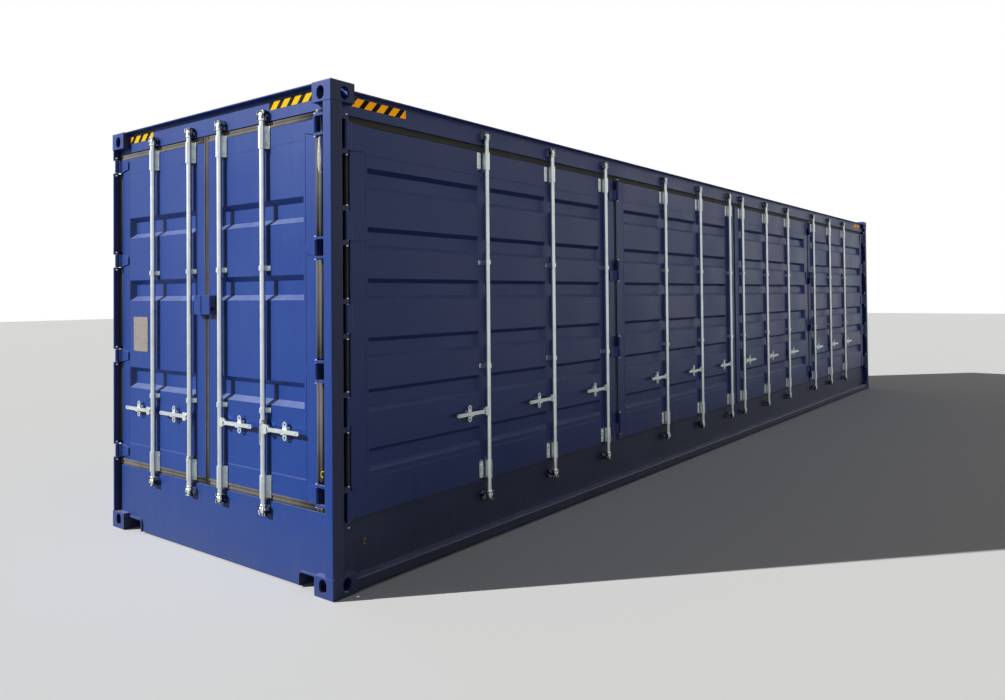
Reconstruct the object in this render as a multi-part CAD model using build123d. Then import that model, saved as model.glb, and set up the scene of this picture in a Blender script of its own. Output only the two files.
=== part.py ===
from build123d import *
import math
import os

# A forty foot high cube freight container with two end doors and four folding side doors.
# X runs along the container with the end doors at minus X, the side doors are at minus Y.
# The origin is on the ground under the middle of the container, and all sizes are in millimetres.

# Overall size
length = 12192.0
width = 2438.0
height = 2896.0

# Corner castings
casting_length = 178.0
casting_width = 162.0
casting_height = 118.0
casting_wall = 14.0
casting_back_wall = 12.0
casting_slot_plate = 28.0
casting_post_plate = 10.0
casting_edge = 8.0
slot_length = 124.5
slot_width = 63.5
slot_from_end = 103.5
slot_from_side = 89.5
aperture_height = 79.5
aperture_width = 63.5

# Plates of the frame
plate = 6.0
bend = 9.0
post_inset = 3.0
base_gap = 12.5

# Corner posts
end_lip = 74.0
side_lip = 86.0
plain_lip = 21.0
plain_post = 86.0
jamb_depth = 118.0
jamb_lap = 30.0

# Where the door gear stands, measured inwards from the face of the castings
gear_face = 44.0
leaf_face = 48.0
leaf_thickness = 50.0
leaf_edge = 5.0
weld_gap = 0.3
rod_axis = 22.0
pin_axis = 20.0

# Door end, with the header measured down from the top
header_drop = 6.0
header_height = 145.0
sill_top = 455.0
end_leaf_lift = 34.0
end_leaf_drop = 31.0
end_hinge_offset = 28.0
left_pin_from_side = 31.0
right_pin_from_side = 157.0
notch_length = 175.0
notch_height = 90.0
notch_frame = 10.0
notch_corner = 20.0

# Seals of all doors
seal_gap = 41.0
seal_slit = 7.0
seal_face = 62.0
seal_thickness = 12.0
seal_reach = 38.0
seal_edge = 6.0
bead = 4.0
bead_width = 14.0

# Panels of the end doors
end_margin = 95.0
end_top_member = 126.0
end_bottom_member = 136.0
sheet = 4.0
band_depth = 34.0
band_bevel = 32.0
end_band_height = 149.0
end_band_lift = [616.0, 1246.0]
end_band_drop = 524.0

# Hinges of the end doors
end_hinge_count = 4
end_hinge_lift = 71.0
end_hinge_drop = 59.0
blade_half = 46.0
blade_tip_half = 27.0
blade_thickness = 8.0
blade_length = 95.0
blade_corner = 8.0
joggle = 8.0
knuckle_radius = 13.0
pin_radius = 8.0
pin_clearance = 0.4
pin_head = 6.0
lug_radius = 11.0
lug_corner = 3.5
lug_thickness = 14.0
lug_clearance = 2.0
hinge_notch_depth = 65.0
notch_clearance = 2.0

# Lock rods of the end doors, each measured from the hinge edge of its leaf
rod_radius = 17.0
rod_clearance = 0.6
end_rod_from_hinge = {"left_outer": 473.0, "left_inner": 932.0, "right_inner": 914.0, "right_outer": 467.0}
end_rod_below_sill = 73.0
end_rod_above_header = 55.0
cam_height = 34.0
cam_plate = 9.0
cam_half = 18.0
cam_nose = 18.0
cam_nose_half = 7.0
keeper_clearance = 25.0
keeper_gap = 5.0
keeper_plate = 8.0
keeper_leg = 54.0
keeper_front = 8.0

# Guides, sleeves and handles of all lock rods
guide_height = 30.0
guide_wall = 4.0
guide_foot = 46.0
sleeve_height = 138.0
end_guide_lift = [509.0, 1366.0]
end_sleeve_lift = 50.0
end_sleeve_drop = 66.0
handle_z = 890.0
handle_reach = 350.0
handle_pivot = 42.0
handle_stub = 14.0
handle_thickness = 12.0
handle_height = 24.0
handle_front = 6.0
handle_hole = 5.0
handle_hole_from_tip = 22.0
handle_gap = 6.0
handle_rest = 0.3
hub_height = 60.0
hub_tip_height = 38.0
hub_reach = 58.0
hub_sink = 4.0
hub_plate = 10.0
hub_gap = 1.0
pivot_radius = 6.0
bolt_head = 4.0
bolt_radius = 11.0
bolt_gap = 0.5
catch_reach = 200.0
catch_width = 36.0
catch_height = 112.0
catch_plate = 6.0
catch_hole = 8.0
catch_hole_from_end = 16.0
catch_foot = 44.0

# Lock box and data plate on the end doors
box_width = 192.0
box_height = 186.0
box_top = 1698.0
box_right = -40.0
box_corner = 26.0
box_hole = 13.0
data_plate_width = 192.0
data_plate_height = 247.0
data_plate_from_hinge = 166.0
data_plate_bottom = 1298.0
data_plate_thickness = 3.0
data_plate_corner = 6.0

# Side that opens, with the top rail measured down from the top
skirt_face = 75.0
skirt_lip_height = 70.0
side_sill_top = 392.0
rail_drop = 41.0
side_rail_height = 135.0
rail_lip = 5.0
rail_depth = 130.0

# Side door leaves
side_leaf_lift = 12.0
side_leaf_drop = 44.0
side_leaf_start = 180.0
side_pin_from_end = 131.0
outer_leaf_width = 3086.0
fold_gap = 44.0
side_margin = 125.0
side_top_member = 168.0
side_bottom_member = 216.0
side_band_height = 130.0
side_band_bevel = 26.0
side_band_lift = 318.0
side_band_drop = 306.0
side_band_pair = 348.0
channel_half = 38.0
channel_bevel = 30.0
channel_foot = 36.0

# Lock rods and hinges of the side doors
outer_leaf_rods = [1246.0, 2073.0]
outer_leaf_last_rod = 187.0
inner_leaf_rods = [932.0, 1769.0]
inner_leaf_last_rod = 177.0
side_rod_below_sill = 110.0
side_rod_above_rail = 80.0
side_nose_gap = 8.0
side_guide_lift = [787.0, 1504.0]
side_sleeve_height = 122.0
side_sleeve_lift = 77.0
side_sleeve_drop = 65.0
side_handle_z = 884.0
side_hinge_lift = [89.0, 622.0, 1149.0]
side_hinge_drop = [594.0, 76.0]
side_blade_half = 82.0
side_blade_tip_half = 74.0
side_blade_length = 125.0
side_lug = 28.0
fold_hinge_lift = [150.0, 815.0]
fold_hinge_drop = [789.0, 86.0]
fold_blade_half = 90.0
fold_blade_tip_half = 80.0
fold_blade_length = 90.0
fold_slit = 1.0

# Blind end and closed side
blind_face = 10.0
wall_rail = 60.0
wall_rail_face = 8.0

# Walls, roof and floor
wall_sheet = 2.0
side_wave = 278.0
side_wave_depth = 36.0
side_wave_inset = 10.0
side_slope = 68.0
end_wave = 250.0
end_wave_depth = 45.0
end_slope = 60.0
roof_pitch = 209.0
roof_rib_width = 130.0
roof_rib_height = 20.0
roof_rib_slope = 30.0
roof_margin = 110.0
roof_edge = 34.0
floor_top = 452.0
floor_thickness = 28.0
floor_joint = 3.0
floor_rows = 2
floor_cols = 10
cross_height = 150.0
cross_flange = 45.0
cross_web = 5.0
cross_pitch = 400.0

# Free cord ends
cord_diameter = 4.4
cord_gap = 0.3
knot_radius = 13.0

# Planes that follow from the sizes above
end_x = -length / 2
far_x = length / 2
side_y = -width / 2
wall_y = width / 2
post_bottom = casting_height
post_top = height - casting_height
header_top = height - header_drop
header_bottom = header_top - header_height
rail_top = height - rail_drop
side_rail_bottom = rail_top - side_rail_height
end_leaf_bottom = sill_top + end_leaf_lift
end_leaf_top = header_bottom - end_leaf_drop
side_leaf_bottom = side_sill_top + side_leaf_lift
side_leaf_top = side_rail_bottom - side_leaf_drop
end_lip_edge = post_inset + end_lip
side_lip_edge = post_inset + side_lip
jamb_back = jamb_depth + plate
left_pin_y = wall_y - left_pin_from_side
right_pin_y = side_y + right_pin_from_side
left_edge = left_pin_y - end_hinge_offset
right_edge = right_pin_y + end_hinge_offset
meeting = (left_edge + right_edge) / 2
left_inner = meeting + seal_gap / 2
right_inner = meeting - seal_gap / 2


# Shared ways to make a form
def patch(x0, x1, y0, y1, corner=0.0):
    # A flat rectangle between two pairs of coordinates, with rounded corners where a radius is given.
    at = Pos((x0 + x1) / 2, (y0 + y1) / 2)
    if corner > 0:
        return at * RectangleRounded(abs(x1 - x0), abs(y1 - y0), corner)
    return at * Rectangle(abs(x1 - x0), abs(y1 - y0))


def tube_face(x0, x1, y0, y1, wall, corner):
    inner = patch(x0 + wall, x1 - wall, y0 + wall, y1 - wall, max(corner - wall, 0.0))
    return patch(x0, x1, y0, y1, corner) - inner


def outline(*points):
    return make_face(Polyline(*points, close=True))


def folded(points, thickness, side, radius=0.0):
    # The section of a folded sheet that lies on one side of a bent line.
    line = FilletPolyline(*points, radius=radius) if radius > 0 else Polyline(*points)
    return make_face(offset(line, thickness, side=side, closed=True))


def along_x(face, x0, x1):
    # Extrudes a face drawn in Y and Z from one X to another.
    plane = Plane(origin=(min(x0, x1), 0, 0), x_dir=(0, 1, 0), z_dir=(1, 0, 0))
    return extrude(plane * face, abs(x1 - x0), dir=(1, 0, 0))


def along_y(face, y0, y1):
    # Extrudes a face drawn in X and Z from one Y to another.
    plane = Plane(origin=(0, min(y0, y1), 0), x_dir=(1, 0, 0), z_dir=(0, -1, 0))
    return extrude(plane * face, abs(y1 - y0), dir=(0, 1, 0))


def along_z(face, z0, z1):
    # Extrudes a face drawn in X and Y from one Z to another.
    return Pos(0, 0, min(z0, z1)) * extrude(face, abs(z1 - z0), dir=(0, 0, 1))


def node(name, pieces):
    os.makedirs("parts", exist_ok=True)
    solids = []
    for piece in pieces:
        solids.extend(piece.solids())
    shape = Compound(children=solids) if len(solids) > 1 else solids[0]
    export_step(shape, "parts/" + name + ".step")


# Door gear is drawn in a frame with X along the leaf, Y inwards from the face of the castings, Z up.
def on_side(x, shape):
    return Pos(x, side_y, 0) * shape


def on_end(y, shape):
    return Pos(end_x, y, 0) * Rot(0, 0, -90) * shape


# Corner castings
def casting(sx, sy, top):
    x_out = sx * length / 2
    y_out = sy * width / 2
    x_in = x_out - sx * casting_length
    y_in = y_out - sy * casting_width
    z0 = height - casting_height if top else 0.0
    z_out = height if top else 0.0
    up = 1 if top else -1
    body = along_z(patch(x_out, x_in, y_out, y_in), z0, z0 + casting_height)
    outer = []
    for edge in body.edges():
        c = edge.center()
        hits = (abs(c.X - x_out) < 0.1) + (abs(c.Y - y_out) < 0.1) + (abs(c.Z - z_out) < 0.1)
        if hits == 2:
            outer.append(edge)
    body = fillet(outer, casting_edge)
    c0 = z_out - up * casting_slot_plate
    c1 = z_out - up * (casting_height - casting_post_plate)
    hollow = patch(x_out - sx * casting_wall, x_in + sx * casting_back_wall, y_out - sy * casting_wall,
                   y_in + sy * casting_back_wall)
    cx = x_out - sx * slot_from_end
    cy = y_out - sy * slot_from_side
    cz = (c0 + c1) / 2
    slot = extrude(SlotOverall(slot_length, slot_width), casting_slot_plate, both=True)
    hole = extrude(SlotOverall(aperture_height, aperture_width), casting_wall * 1.5, both=True)
    end_hole = Pos(x_out, cy, cz) * Rot(0, 90, 0) * hole
    side_hole = Pos(cx, y_out, cz) * Rot(90, 0, 0) * Rot(0, 0, 90) * hole
    return body - [along_z(hollow, c0, c1), Pos(cx, cy, z_out) * slot, end_hole, side_hole]


corners = [(-1, -1), (-1, 1), (1, -1), (1, 1)]
node("corner_castings_bottom", [casting(sx, sy, False) for sx, sy in corners])
node("corner_castings_top", [casting(sx, sy, True) for sx, sy in corners])

# Corner post between the end doors and the side doors, a closed tube with a cell and two jambs behind
end_hinge_first = end_leaf_bottom + end_hinge_lift
end_hinge_step = (end_leaf_top - end_hinge_drop - end_hinge_first) / (end_hinge_count - 1)
end_hinge_z = [end_hinge_first + i * end_hinge_step for i in range(end_hinge_count)]
corner_at = Pos(end_x, side_y)
tube = tube_face(post_inset, side_lip_edge, post_inset, end_lip_edge, plate, bend)
cell = tube_face(side_lip_edge - plate, jamb_back, end_lip_edge - plate, jamb_back, plate, 0.0)
end_flange = patch(jamb_depth, jamb_back, jamb_depth, casting_width)
side_flange = patch(jamb_depth, casting_length, jamb_depth, jamb_back)
right_post = along_z(corner_at * (tube + cell + end_flange + side_flange), post_bottom, post_top)
end_jamb = patch(jamb_depth, jamb_back, casting_width, right_edge + jamb_lap - side_y)
side_jamb = patch(casting_length, side_leaf_start + jamb_lap, jamb_depth, jamb_back)
right_post = right_post + [along_z(corner_at * end_jamb, sill_top, header_bottom),
                           along_z(corner_at * side_jamb, floor_top, side_rail_bottom)]

# Corner post between the end doors and the closed side, a hooked plate in front of a closed tube
jamb_in = wall_y - (left_edge - jamb_lap)
hook = [(post_inset, -plain_lip), (post_inset, -post_inset), (casting_length, -post_inset)]
hook_face = folded(hook, plate, Side.RIGHT, bend)
jamb_tube = tube_face(jamb_depth, casting_length, -jamb_in, -post_inset, plate, 0.0)
left_post = along_z(Pos(end_x, wall_y) * (hook_face + jamb_tube), post_bottom, post_top)
pocket_half = blade_half + notch_clearance
for z in end_hinge_z:
    pocket = patch(end_x - plate, end_x + hinge_notch_depth, z - pocket_half, z + pocket_half, notch_clearance)
    left_post = left_post - along_y(pocket, left_pin_y - 1.0, wall_y)
node("corner_posts_door_end", [right_post, left_post])

# Corner posts at the blind end
far_at = Pos(far_x, side_y)
far_tube = tube_face(-side_lip_edge, -post_inset, post_inset, jamb_back, plate, bend)
far_flange = patch(-casting_length, -side_lip_edge, jamb_depth, jamb_back)
far_jamb = patch(-side_leaf_start - jamb_lap, -casting_length, jamb_depth, jamb_back)
far_post = along_z(far_at * (far_tube + far_flange), post_bottom, post_top)
far_post = far_post + along_z(far_at * far_jamb, floor_top, side_rail_bottom)
plain_edge = post_inset + plain_post
plain_face = tube_face(-plain_edge, -post_inset, -plain_edge, -post_inset, plate, bend)
plain = along_z(Pos(far_x, wall_y) * plain_face, post_bottom, post_top)
node("corner_posts_blind_end", [far_post, plain])

# Header and sill of the door end, box sections with ledges that run on to the posts
sill_left = left_edge + seal_reach / 2
low_y0 = side_y + casting_width
low_y1 = wall_y - casting_width
high_y0 = side_y + end_lip_edge
beam_back = casting_length
cell_depth = side_lip_edge - plate
cell_y = side_y + jamb_back
front_x = end_x + gear_face
back_x = end_x + beam_back


def end_ledges(z_flange, z_web0, z_web1):
    # The front plate and the flange of the header or the sill beside the castings.
    web = patch(front_x, front_x + plate, z_web0, z_web1)
    shallow = web + patch(front_x, end_x + cell_depth, z_flange, z_flange + plate)
    deep = web + patch(front_x, end_x + jamb_depth, z_flange, z_flange + plate)
    close = patch(front_x, end_x + jamb_depth, z_web0, z_web1)
    return [along_y(shallow, high_y0, cell_y), along_y(deep, cell_y, low_y0),
            along_y(deep, low_y1, sill_left), along_y(close, sill_left - plate, sill_left)]


header_face = tube_face(front_x, back_x, header_bottom, header_top, plate, 0.0)
header_face = header_face + patch(end_x + post_inset, front_x + plate, header_top - plate, header_top)
header = along_y(header_face, low_y0, low_y1)
header = header + end_ledges(header_bottom, header_bottom, post_top)
node("door_header", [header])

sill = along_y(tube_face(front_x, back_x, base_gap, sill_top, plate, 0.0), low_y0, low_y1)
sill = sill + end_ledges(sill_top - plate, post_bottom, sill_top)
for side, edge in ((1, low_y0), (-1, low_y1)):
    # The opening beside a bottom casting, with a bent plate as its frame.
    reach = edge + side * notch_length
    room = patch(edge, reach, base_gap - plate, notch_height)
    bent = [(edge, notch_height), (reach, notch_height), (reach, base_gap)]
    away = Side.LEFT if side > 0 else Side.RIGHT
    frame = folded(bent, notch_frame, away, notch_corner)
    sill = sill - along_x(room, end_x, back_x - plate)
    sill = sill + along_x(frame, front_x - notch_frame, back_x - plate)
node("door_sill", [sill])

# Header and sill of the blind end
blind_x0 = far_x - beam_back
blind_x1 = far_x - blind_face
blind_y0 = side_y + casting_width
blind_y1 = wall_y - casting_width
blind_wall_y0 = side_y + jamb_back
blind_wall_y1 = wall_y - plain_edge
blind_top = along_y(tube_face(blind_x0, blind_x1, post_top, header_top, plate, bend), blind_y0, blind_y1)
blind_low = along_y(tube_face(blind_x0, blind_x1, base_gap, post_bottom, plate, bend), blind_y0, blind_y1)
blind_upper = tube_face(far_x - plain_post, blind_x1, post_bottom, sill_top, plate, 0.0)
blind_low = blind_low + along_y(blind_upper, blind_wall_y0, blind_wall_y1)
node("blind_end_rails", [blind_top, blind_low])

# Rails of the side that opens
rail_x = length / 2 - casting_length
rail_post_x = length / 2 - side_lip_edge
cell_x = -(length / 2 - jamb_back)
cell_s = end_lip_edge - plate


def side_patch(s0, s1, z0, z1, corner=0.0):
    return patch(side_y + s0, side_y + s1, z0, z1, corner)


rail_face = tube_face(side_y + gear_face, side_y + rail_depth, side_rail_bottom, rail_top, plate, 0.0)
rail_face = rail_face + side_patch(rail_lip, gear_face + plate, rail_top - plate, rail_top)
rail_web = side_patch(gear_face, gear_face + plate, side_rail_bottom, post_top)
top_rail = along_x(rail_face, -rail_x, rail_x)
top_rail = top_rail + [
    along_x(rail_web + side_patch(gear_face, cell_s, side_rail_bottom, side_rail_bottom + plate),
            -rail_post_x, rail_post_x),
    along_x(side_patch(gear_face, jamb_depth, side_rail_bottom, side_rail_bottom + plate), cell_x,
            rail_post_x),
]
node("top_rail_side_doors", [top_rail])

lip_top = base_gap + skirt_lip_height
skirt_back = skirt_face + plate
skirt_lip = tube_face(side_y + post_inset, side_y + skirt_back, base_gap, lip_top, plate, bend)
skirt_box = tube_face(side_y + skirt_face, side_y + rail_depth, base_gap, side_sill_top, plate, 0.0)
skirt_wall = side_patch(rail_depth - plate, rail_depth, base_gap, floor_top)
skirt_end = side_patch(skirt_face, skirt_back, post_bottom, side_sill_top)
skirt_end = skirt_end + side_patch(skirt_face, jamb_depth, side_sill_top - plate, side_sill_top)
skirt = along_x(skirt_lip + skirt_box + skirt_wall, -rail_x, rail_x)
skirt = skirt + along_x(skirt_end, cell_x, rail_post_x)
node("bottom_rail_side_doors", [skirt])

# Rails of the closed side
wall_rail_bottom = rail_top - wall_rail
wall_rail_y = wall_y - wall_rail_face
wall_rail_in = wall_rail_y - wall_rail
wall_bottom = sill_top
wall_tube = tube_face(wall_rail_in, wall_rail_y, wall_rail_bottom, rail_top, plate, bend)
node("top_rail_closed_side", [along_x(wall_tube, -rail_x, rail_x)])
channel_line = [(wall_rail_in, base_gap), (wall_rail_y, base_gap), (wall_rail_y, wall_bottom),
                (wall_rail_in, wall_bottom)]
wall_channel = folded(channel_line, plate, Side.LEFT, bend)
node("bottom_rail_closed_side", [along_x(wall_channel, -rail_x, rail_x)])


# Corrugated walls
def corrugated(start, span, pitch, base, depth, slope):
    # The section of a corrugated sheet along its span, with whole waves that start and end on the base line.
    count = max(1, round(span / pitch))
    step = span / count
    flat = (step - 2 * slope) / 2
    front = []
    for i in range(count):
        at = start + i * step
        front.extend([(at + flat / 2, base), (at + flat / 2 + slope, base + depth),
                      (at + flat * 1.5 + slope, base + depth), (at + step - flat / 2, base)])
    front = [(start, base)] + front + [(start + span, base)]
    back = [(a, b + wall_sheet) for a, b in reversed(front)]
    return outline(*(front + back))


wave_depth = side_wave_depth - wall_sheet
wave_base = wall_y - side_wave_inset - side_wave_depth
wall_face = corrugated(-rail_x, 2 * rail_x, side_wave, wave_base, wave_depth, side_slope)
node("closed_side_wall", [along_z(wall_face, wall_bottom, wall_rail_bottom)])

end_base = blind_x1 - plate - end_wave_depth
end_face = corrugated(blind_wall_y0, blind_wall_y1 - blind_wall_y0, end_wave, 0.0, end_wave_depth - wall_sheet,
                      end_slope)
end_wall = Pos(end_base, 0, 0) * mirror(Rot(0, 0, -90) * along_z(end_face, sill_top, post_top), Plane.XZ)
node("blind_end_wall", [end_wall])


# Roof sheet with pressed ribs and flat margins
def frustum(ring_at, near, far, a0, a1, b0, b1, bevel):
    # A block that narrows by the bevel on its four sides between two parallel planes.
    base = patch(a0, a1, b0, b1)
    tip = patch(a0 + bevel, a1 - bevel, b0 + bevel, b1 - bevel)
    return loft([ring_at(near) * base, ring_at(far) * tip], ruled=True)


def level(z):
    return Plane(origin=(0, 0, z))


def facing_end(x):
    return Plane(origin=(x, 0, 0), x_dir=(0, 1, 0), z_dir=(1, 0, 0))


def facing_side(y):
    return Plane(origin=(0, y, 0), x_dir=(1, 0, 0), z_dir=(0, -1, 0))


roof_count = round(2 * rail_x / roof_pitch)
roof_step = 2 * rail_x / roof_count
rib_y = width / 2 - roof_margin
roof_y = width / 2 - roof_edge
ribs = []
for i in range(roof_count):
    x = -rail_x + (i + 0.5) * roof_step
    ribs.append(frustum(level, rail_top, rail_top + roof_rib_height, x - roof_rib_width / 2,
                        x + roof_rib_width / 2, -rib_y, rib_y, roof_rib_slope))
deck = patch(-rail_x, rail_x, -roof_y, roof_y)
crown = Pos(0, 0, wall_sheet) * Compound(children=ribs)
roof = along_z(deck, rail_top, rail_top + wall_sheet) + crown.solids()
roof = roof - ribs
node("roof_panel", [roof])

# Floor boards and cross members
floor_bottom = floor_top - floor_thickness
floor_y0 = side_y + rail_depth
floor_y1 = wall_rail_in
board_x = (2 * rail_x + floor_joint) / floor_cols
board_y = (floor_y1 - floor_y0 + floor_joint) / floor_rows
board = patch(0, board_x - floor_joint, 0, board_y - floor_joint)
boards = []
for i in range(floor_cols):
    for j in range(floor_rows):
        place = Pos(-rail_x + i * board_x, floor_y0 + j * board_y)
        boards.append(along_z(place * board, floor_bottom, floor_top))
node("floor_boards", boards)

member_y1 = wall_rail_y - plate
member_low = floor_bottom - cross_height
member_line = [(cross_flange, member_low), (0, member_low), (0, floor_bottom), (cross_flange, floor_bottom)]
member = along_y(folded(member_line, cross_web, Side.RIGHT), floor_y0, member_y1)
cross_count = round(2 * rail_x / cross_pitch)
cross_step = 2 * rail_x / cross_count
node("cross_members", [Pos(-rail_x + (i + 0.5) * cross_step, 0, 0) * member for i in range(cross_count)])


# Hinge blades and lugs, drawn with X from the pin towards the leaf
def hinge_blade(edge, reach, half, tip_half, z0, z1):
    # A joggled strap with a rolled knuckle, its outline tapered and rounded towards the tip.
    back = pin_axis + knuckle_radius
    tip = edge + reach
    strap = folded([(0, back), (edge - joggle, back), (edge + joggle, leaf_face), (tip, leaf_face)],
                   blade_thickness, Side.RIGHT)
    plan = strap + Pos(0, pin_axis) * Circle(knuckle_radius)
    plan = plan - Pos(0, pin_axis) * Circle(pin_radius + pin_clearance)
    front = outline((-knuckle_radius, -half), (edge, -half), (tip, -tip_half), (tip, tip_half), (edge, half),
                    (-knuckle_radius, half))
    front = fillet(front.vertices().sort_by(Axis.X)[-2:], blade_corner)
    return along_z(plan, z0, z1) & along_y(front, 0, leaf_face)


def hinge_lug(reach, thickness, z):
    # A rounded ear from the post to the pin.
    # Its corners at the post are cut off, so that it clears the bend of the plate there.
    arm = patch(-reach, 0, pin_axis - lug_radius, pin_axis + lug_radius)
    arm = chamfer(arm.vertices().sort_by(Axis.X)[:2], lug_corner)
    plan = arm + Pos(0, pin_axis) * Circle(lug_radius)
    return along_z(plan - Pos(0, pin_axis) * Circle(pin_radius), z, z + thickness)


def hinge_pin(reach):
    return along_z(Pos(0, pin_axis) * Circle(pin_radius), -reach - pin_head, reach + pin_head)


def hinge_row(place, at, flip, heights, shape):
    # Copies one hinge piece to every hinge of a post, turned over where the leaf lies on the other side.
    piece = mirror(shape, Plane.YZ) if flip else shape
    return [place(at, Pos(0, 0, z) * piece) for z in heights]


# Frames of the end leaves, two stiles and two rails butted together
def bar(face, extent, x0, x1, along):
    # A rolled bar with its face edges rounded.
    body = extent(face, x0, x1)
    return fillet(body.edges().filter_by(along), leaf_edge)


end_leaf_back = leaf_face + leaf_thickness
leaf_x0 = end_x + leaf_face
leaf_x1 = end_x + end_leaf_back
end_blade = hinge_blade(end_hinge_offset, blade_length, blade_half, blade_tip_half, -blade_half, blade_half)


def end_frame(y0, y1, hinge_y, flip):
    stiles = []
    for a, b in ((y0, y0 + end_margin), (y1 - end_margin, y1)):
        face = patch(leaf_x0, leaf_x1, a, b)
        stiles.append(bar(face, along_z, end_leaf_bottom, end_leaf_top, Axis.Z))
    blades = hinge_row(on_end, hinge_y, flip, end_hinge_z, end_blade)
    hinged = 0 if flip else 1
    stiles[hinged] = stiles[hinged] + blades
    rails = []
    a = y0 + end_margin + weld_gap
    b = y1 - end_margin - weld_gap
    for z0, z1 in ((end_leaf_bottom, end_leaf_bottom + end_bottom_member),
                   (end_leaf_top - end_top_member, end_leaf_top)):
        rails.append(bar(patch(leaf_x0, leaf_x1, z0, z1), along_y, a, b, Axis.Y))
    return stiles + rails


# Panels of the leaves, a sheet pressed inwards in bands with bevelled walls
def pressed(flat, hollows, inward):
    return flat + [Pos(*inward) * hollow for hollow in hollows] - hollows


def end_panel(y0, y1):
    a = y0 + end_margin + weld_gap
    b = y1 - end_margin - weld_gap
    z0 = end_leaf_bottom + end_bottom_member + weld_gap
    z1 = end_leaf_top - end_top_member - weld_gap
    centres = [end_leaf_bottom + lift for lift in end_band_lift] + [end_leaf_top - end_band_drop]
    run = band_bevel / 2
    hollows = []
    for z in centres:
        hollows.append(frustum(facing_end, leaf_x0, leaf_x0 + band_depth, a + run, b - run,
                               z - end_band_height / 2, z + end_band_height / 2, band_bevel))
    return pressed(along_x(patch(a, b, z0, z1), leaf_x0, leaf_x0 + sheet), hollows, (sheet, 0, 0))


def end_seal(y0, y1, hinge_reach, inner_reach, flip):
    # A flat strip round the leaf with a raised bead, cut away behind each hinge.
    a = min(hinge_reach, inner_reach)
    b = max(hinge_reach, inner_reach)
    z0 = sill_top + seal_edge
    z1 = header_bottom - seal_edge
    face = patch(a, b, z0, z1) - patch(y0, y1, end_leaf_bottom, end_leaf_top)
    mid = end_leaf_lift / 2
    ridge = patch(y0 - mid, y1 + mid, end_leaf_bottom - mid, end_leaf_top + mid)
    low = mid - bead_width / 2
    ridge = ridge - patch(y0 - low, y1 + low, end_leaf_bottom - low, end_leaf_top + low)
    ridge = ridge & patch(a, b, z0, z1)
    strip = along_x(face, end_x + seal_face, end_x + seal_face + seal_thickness)
    strip = strip + along_x(ridge, end_x + seal_face - bead, end_x + seal_face)
    hinge_edge = y0 if flip else y1
    outward = -1 if flip else 1
    room = pocket_half + lug_thickness
    for z in end_hinge_z:
        near = hinge_edge + outward * 2 * bead
        gap = patch(near, near + outward * seal_reach, z - room, z + room)
        strip = strip - along_x(gap, leaf_x0, leaf_x1)
    return strip


# Lock gear, drawn round one rod that stands at X = 0
def guide(base, foot, z, tall):
    # A strap pressed to a hat section with bevelled shoulders, bolted down at both feet.
    inner = rod_radius + rod_clearance
    shoulder = inner * math.tan(math.radians(22.5))
    front = rod_axis - inner
    line = [(-foot, base), (-inner, base), (-inner, rod_axis - shoulder), (-shoulder, front),
            (shoulder, front), (inner, rod_axis - shoulder), (inner, base), (foot, base)]
    return along_z(folded(line, guide_wall, Side.RIGHT), z - tall / 2, z + tall / 2)


def cam(z, nose):
    # A forged head of two plates with a nose that points inwards.
    reach = rod_axis + nose
    face = outline((-cam_half * 0.8, rod_axis - cam_half * 0.7), (cam_half * 0.8, rod_axis - cam_half * 0.7),
                   (cam_half, rod_axis + cam_plate / 2), (cam_nose_half, reach), (-cam_nose_half, reach),
                   (-cam_half, rod_axis + cam_plate / 2))
    return [along_z(face, z, z + cam_plate), along_z(face, z + cam_height - cam_plate, z + cam_height)]


def lock_rod(z0, z1, low_nose, high_nose, toward, hub_z):
    # The rod with its two cams, the hub plate beside it and the bolt that carries the handle.
    rod = along_z(Pos(0, rod_axis) * Circle(rod_radius), z0, z1)
    root = rod_radius - hub_sink
    ear = outline((toward * root, hub_z - hub_height / 2), (toward * root, hub_z + hub_height / 2),
                  (toward * hub_reach, hub_z + hub_tip_height / 2),
                  (toward * hub_reach, hub_z - hub_tip_height / 2))
    back = handle_front + handle_thickness + hub_gap
    bolt = Pos(toward * handle_pivot, hub_z)
    front = handle_front - bolt_gap
    pieces = [along_y(ear, back, back + hub_plate), along_y(bolt * Circle(pivot_radius), front, back),
              along_y(bolt * RegularPolygon(bolt_radius, 6), front - bolt_head, front)]
    return rod + cam(z0, low_nose) + cam(z1 - cam_height, high_nose) + pieces


def handle(toward, z):
    # A flat bar with round ends, a bore for its bolt and a hole near the tip.
    start = handle_pivot - handle_stub
    mid = (start + handle_reach) / 2
    face = Pos(toward * mid, z) * SlotOverall(handle_reach - start, handle_height)
    face = face - Pos(toward * handle_pivot, z) * Circle(pivot_radius + pin_clearance)
    face = face - Pos(toward * (handle_reach - handle_hole_from_tip), z) * Circle(handle_hole)
    return along_y(face, handle_front, handle_front + handle_thickness)


def catch(toward, z):
    # A pierced plate behind the handle on a block and a foot, with the ledge that the handle rests on.
    x = toward * catch_reach
    front = handle_front + handle_thickness + handle_gap
    back = front + catch_plate
    face = Pos(x, z) * Rot(0, 0, 90) * SlotOverall(catch_height, catch_width)
    for side in (-1, 1):
        hole = Pos(x, z + side * (catch_height / 2 - catch_hole_from_end)) * Circle(catch_hole)
        face = face - hole
    ledge = z - handle_height / 2 - handle_rest
    half = catch_width / 2
    foot = patch(x - catch_foot / 2, x + catch_foot / 2, z - catch_foot / 2, z + catch_foot / 2)
    block = patch(x - half, x + half, z - handle_height / 2, z + handle_height / 2)
    tongue = patch(x - half, x + half, ledge - catch_plate, ledge)
    return along_y(face, front, back) + [along_y(block, back, leaf_face - guide_wall),
                                         along_y(foot, leaf_face - guide_wall, leaf_face),
                                         along_y(tongue, handle_front, back)]


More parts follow.
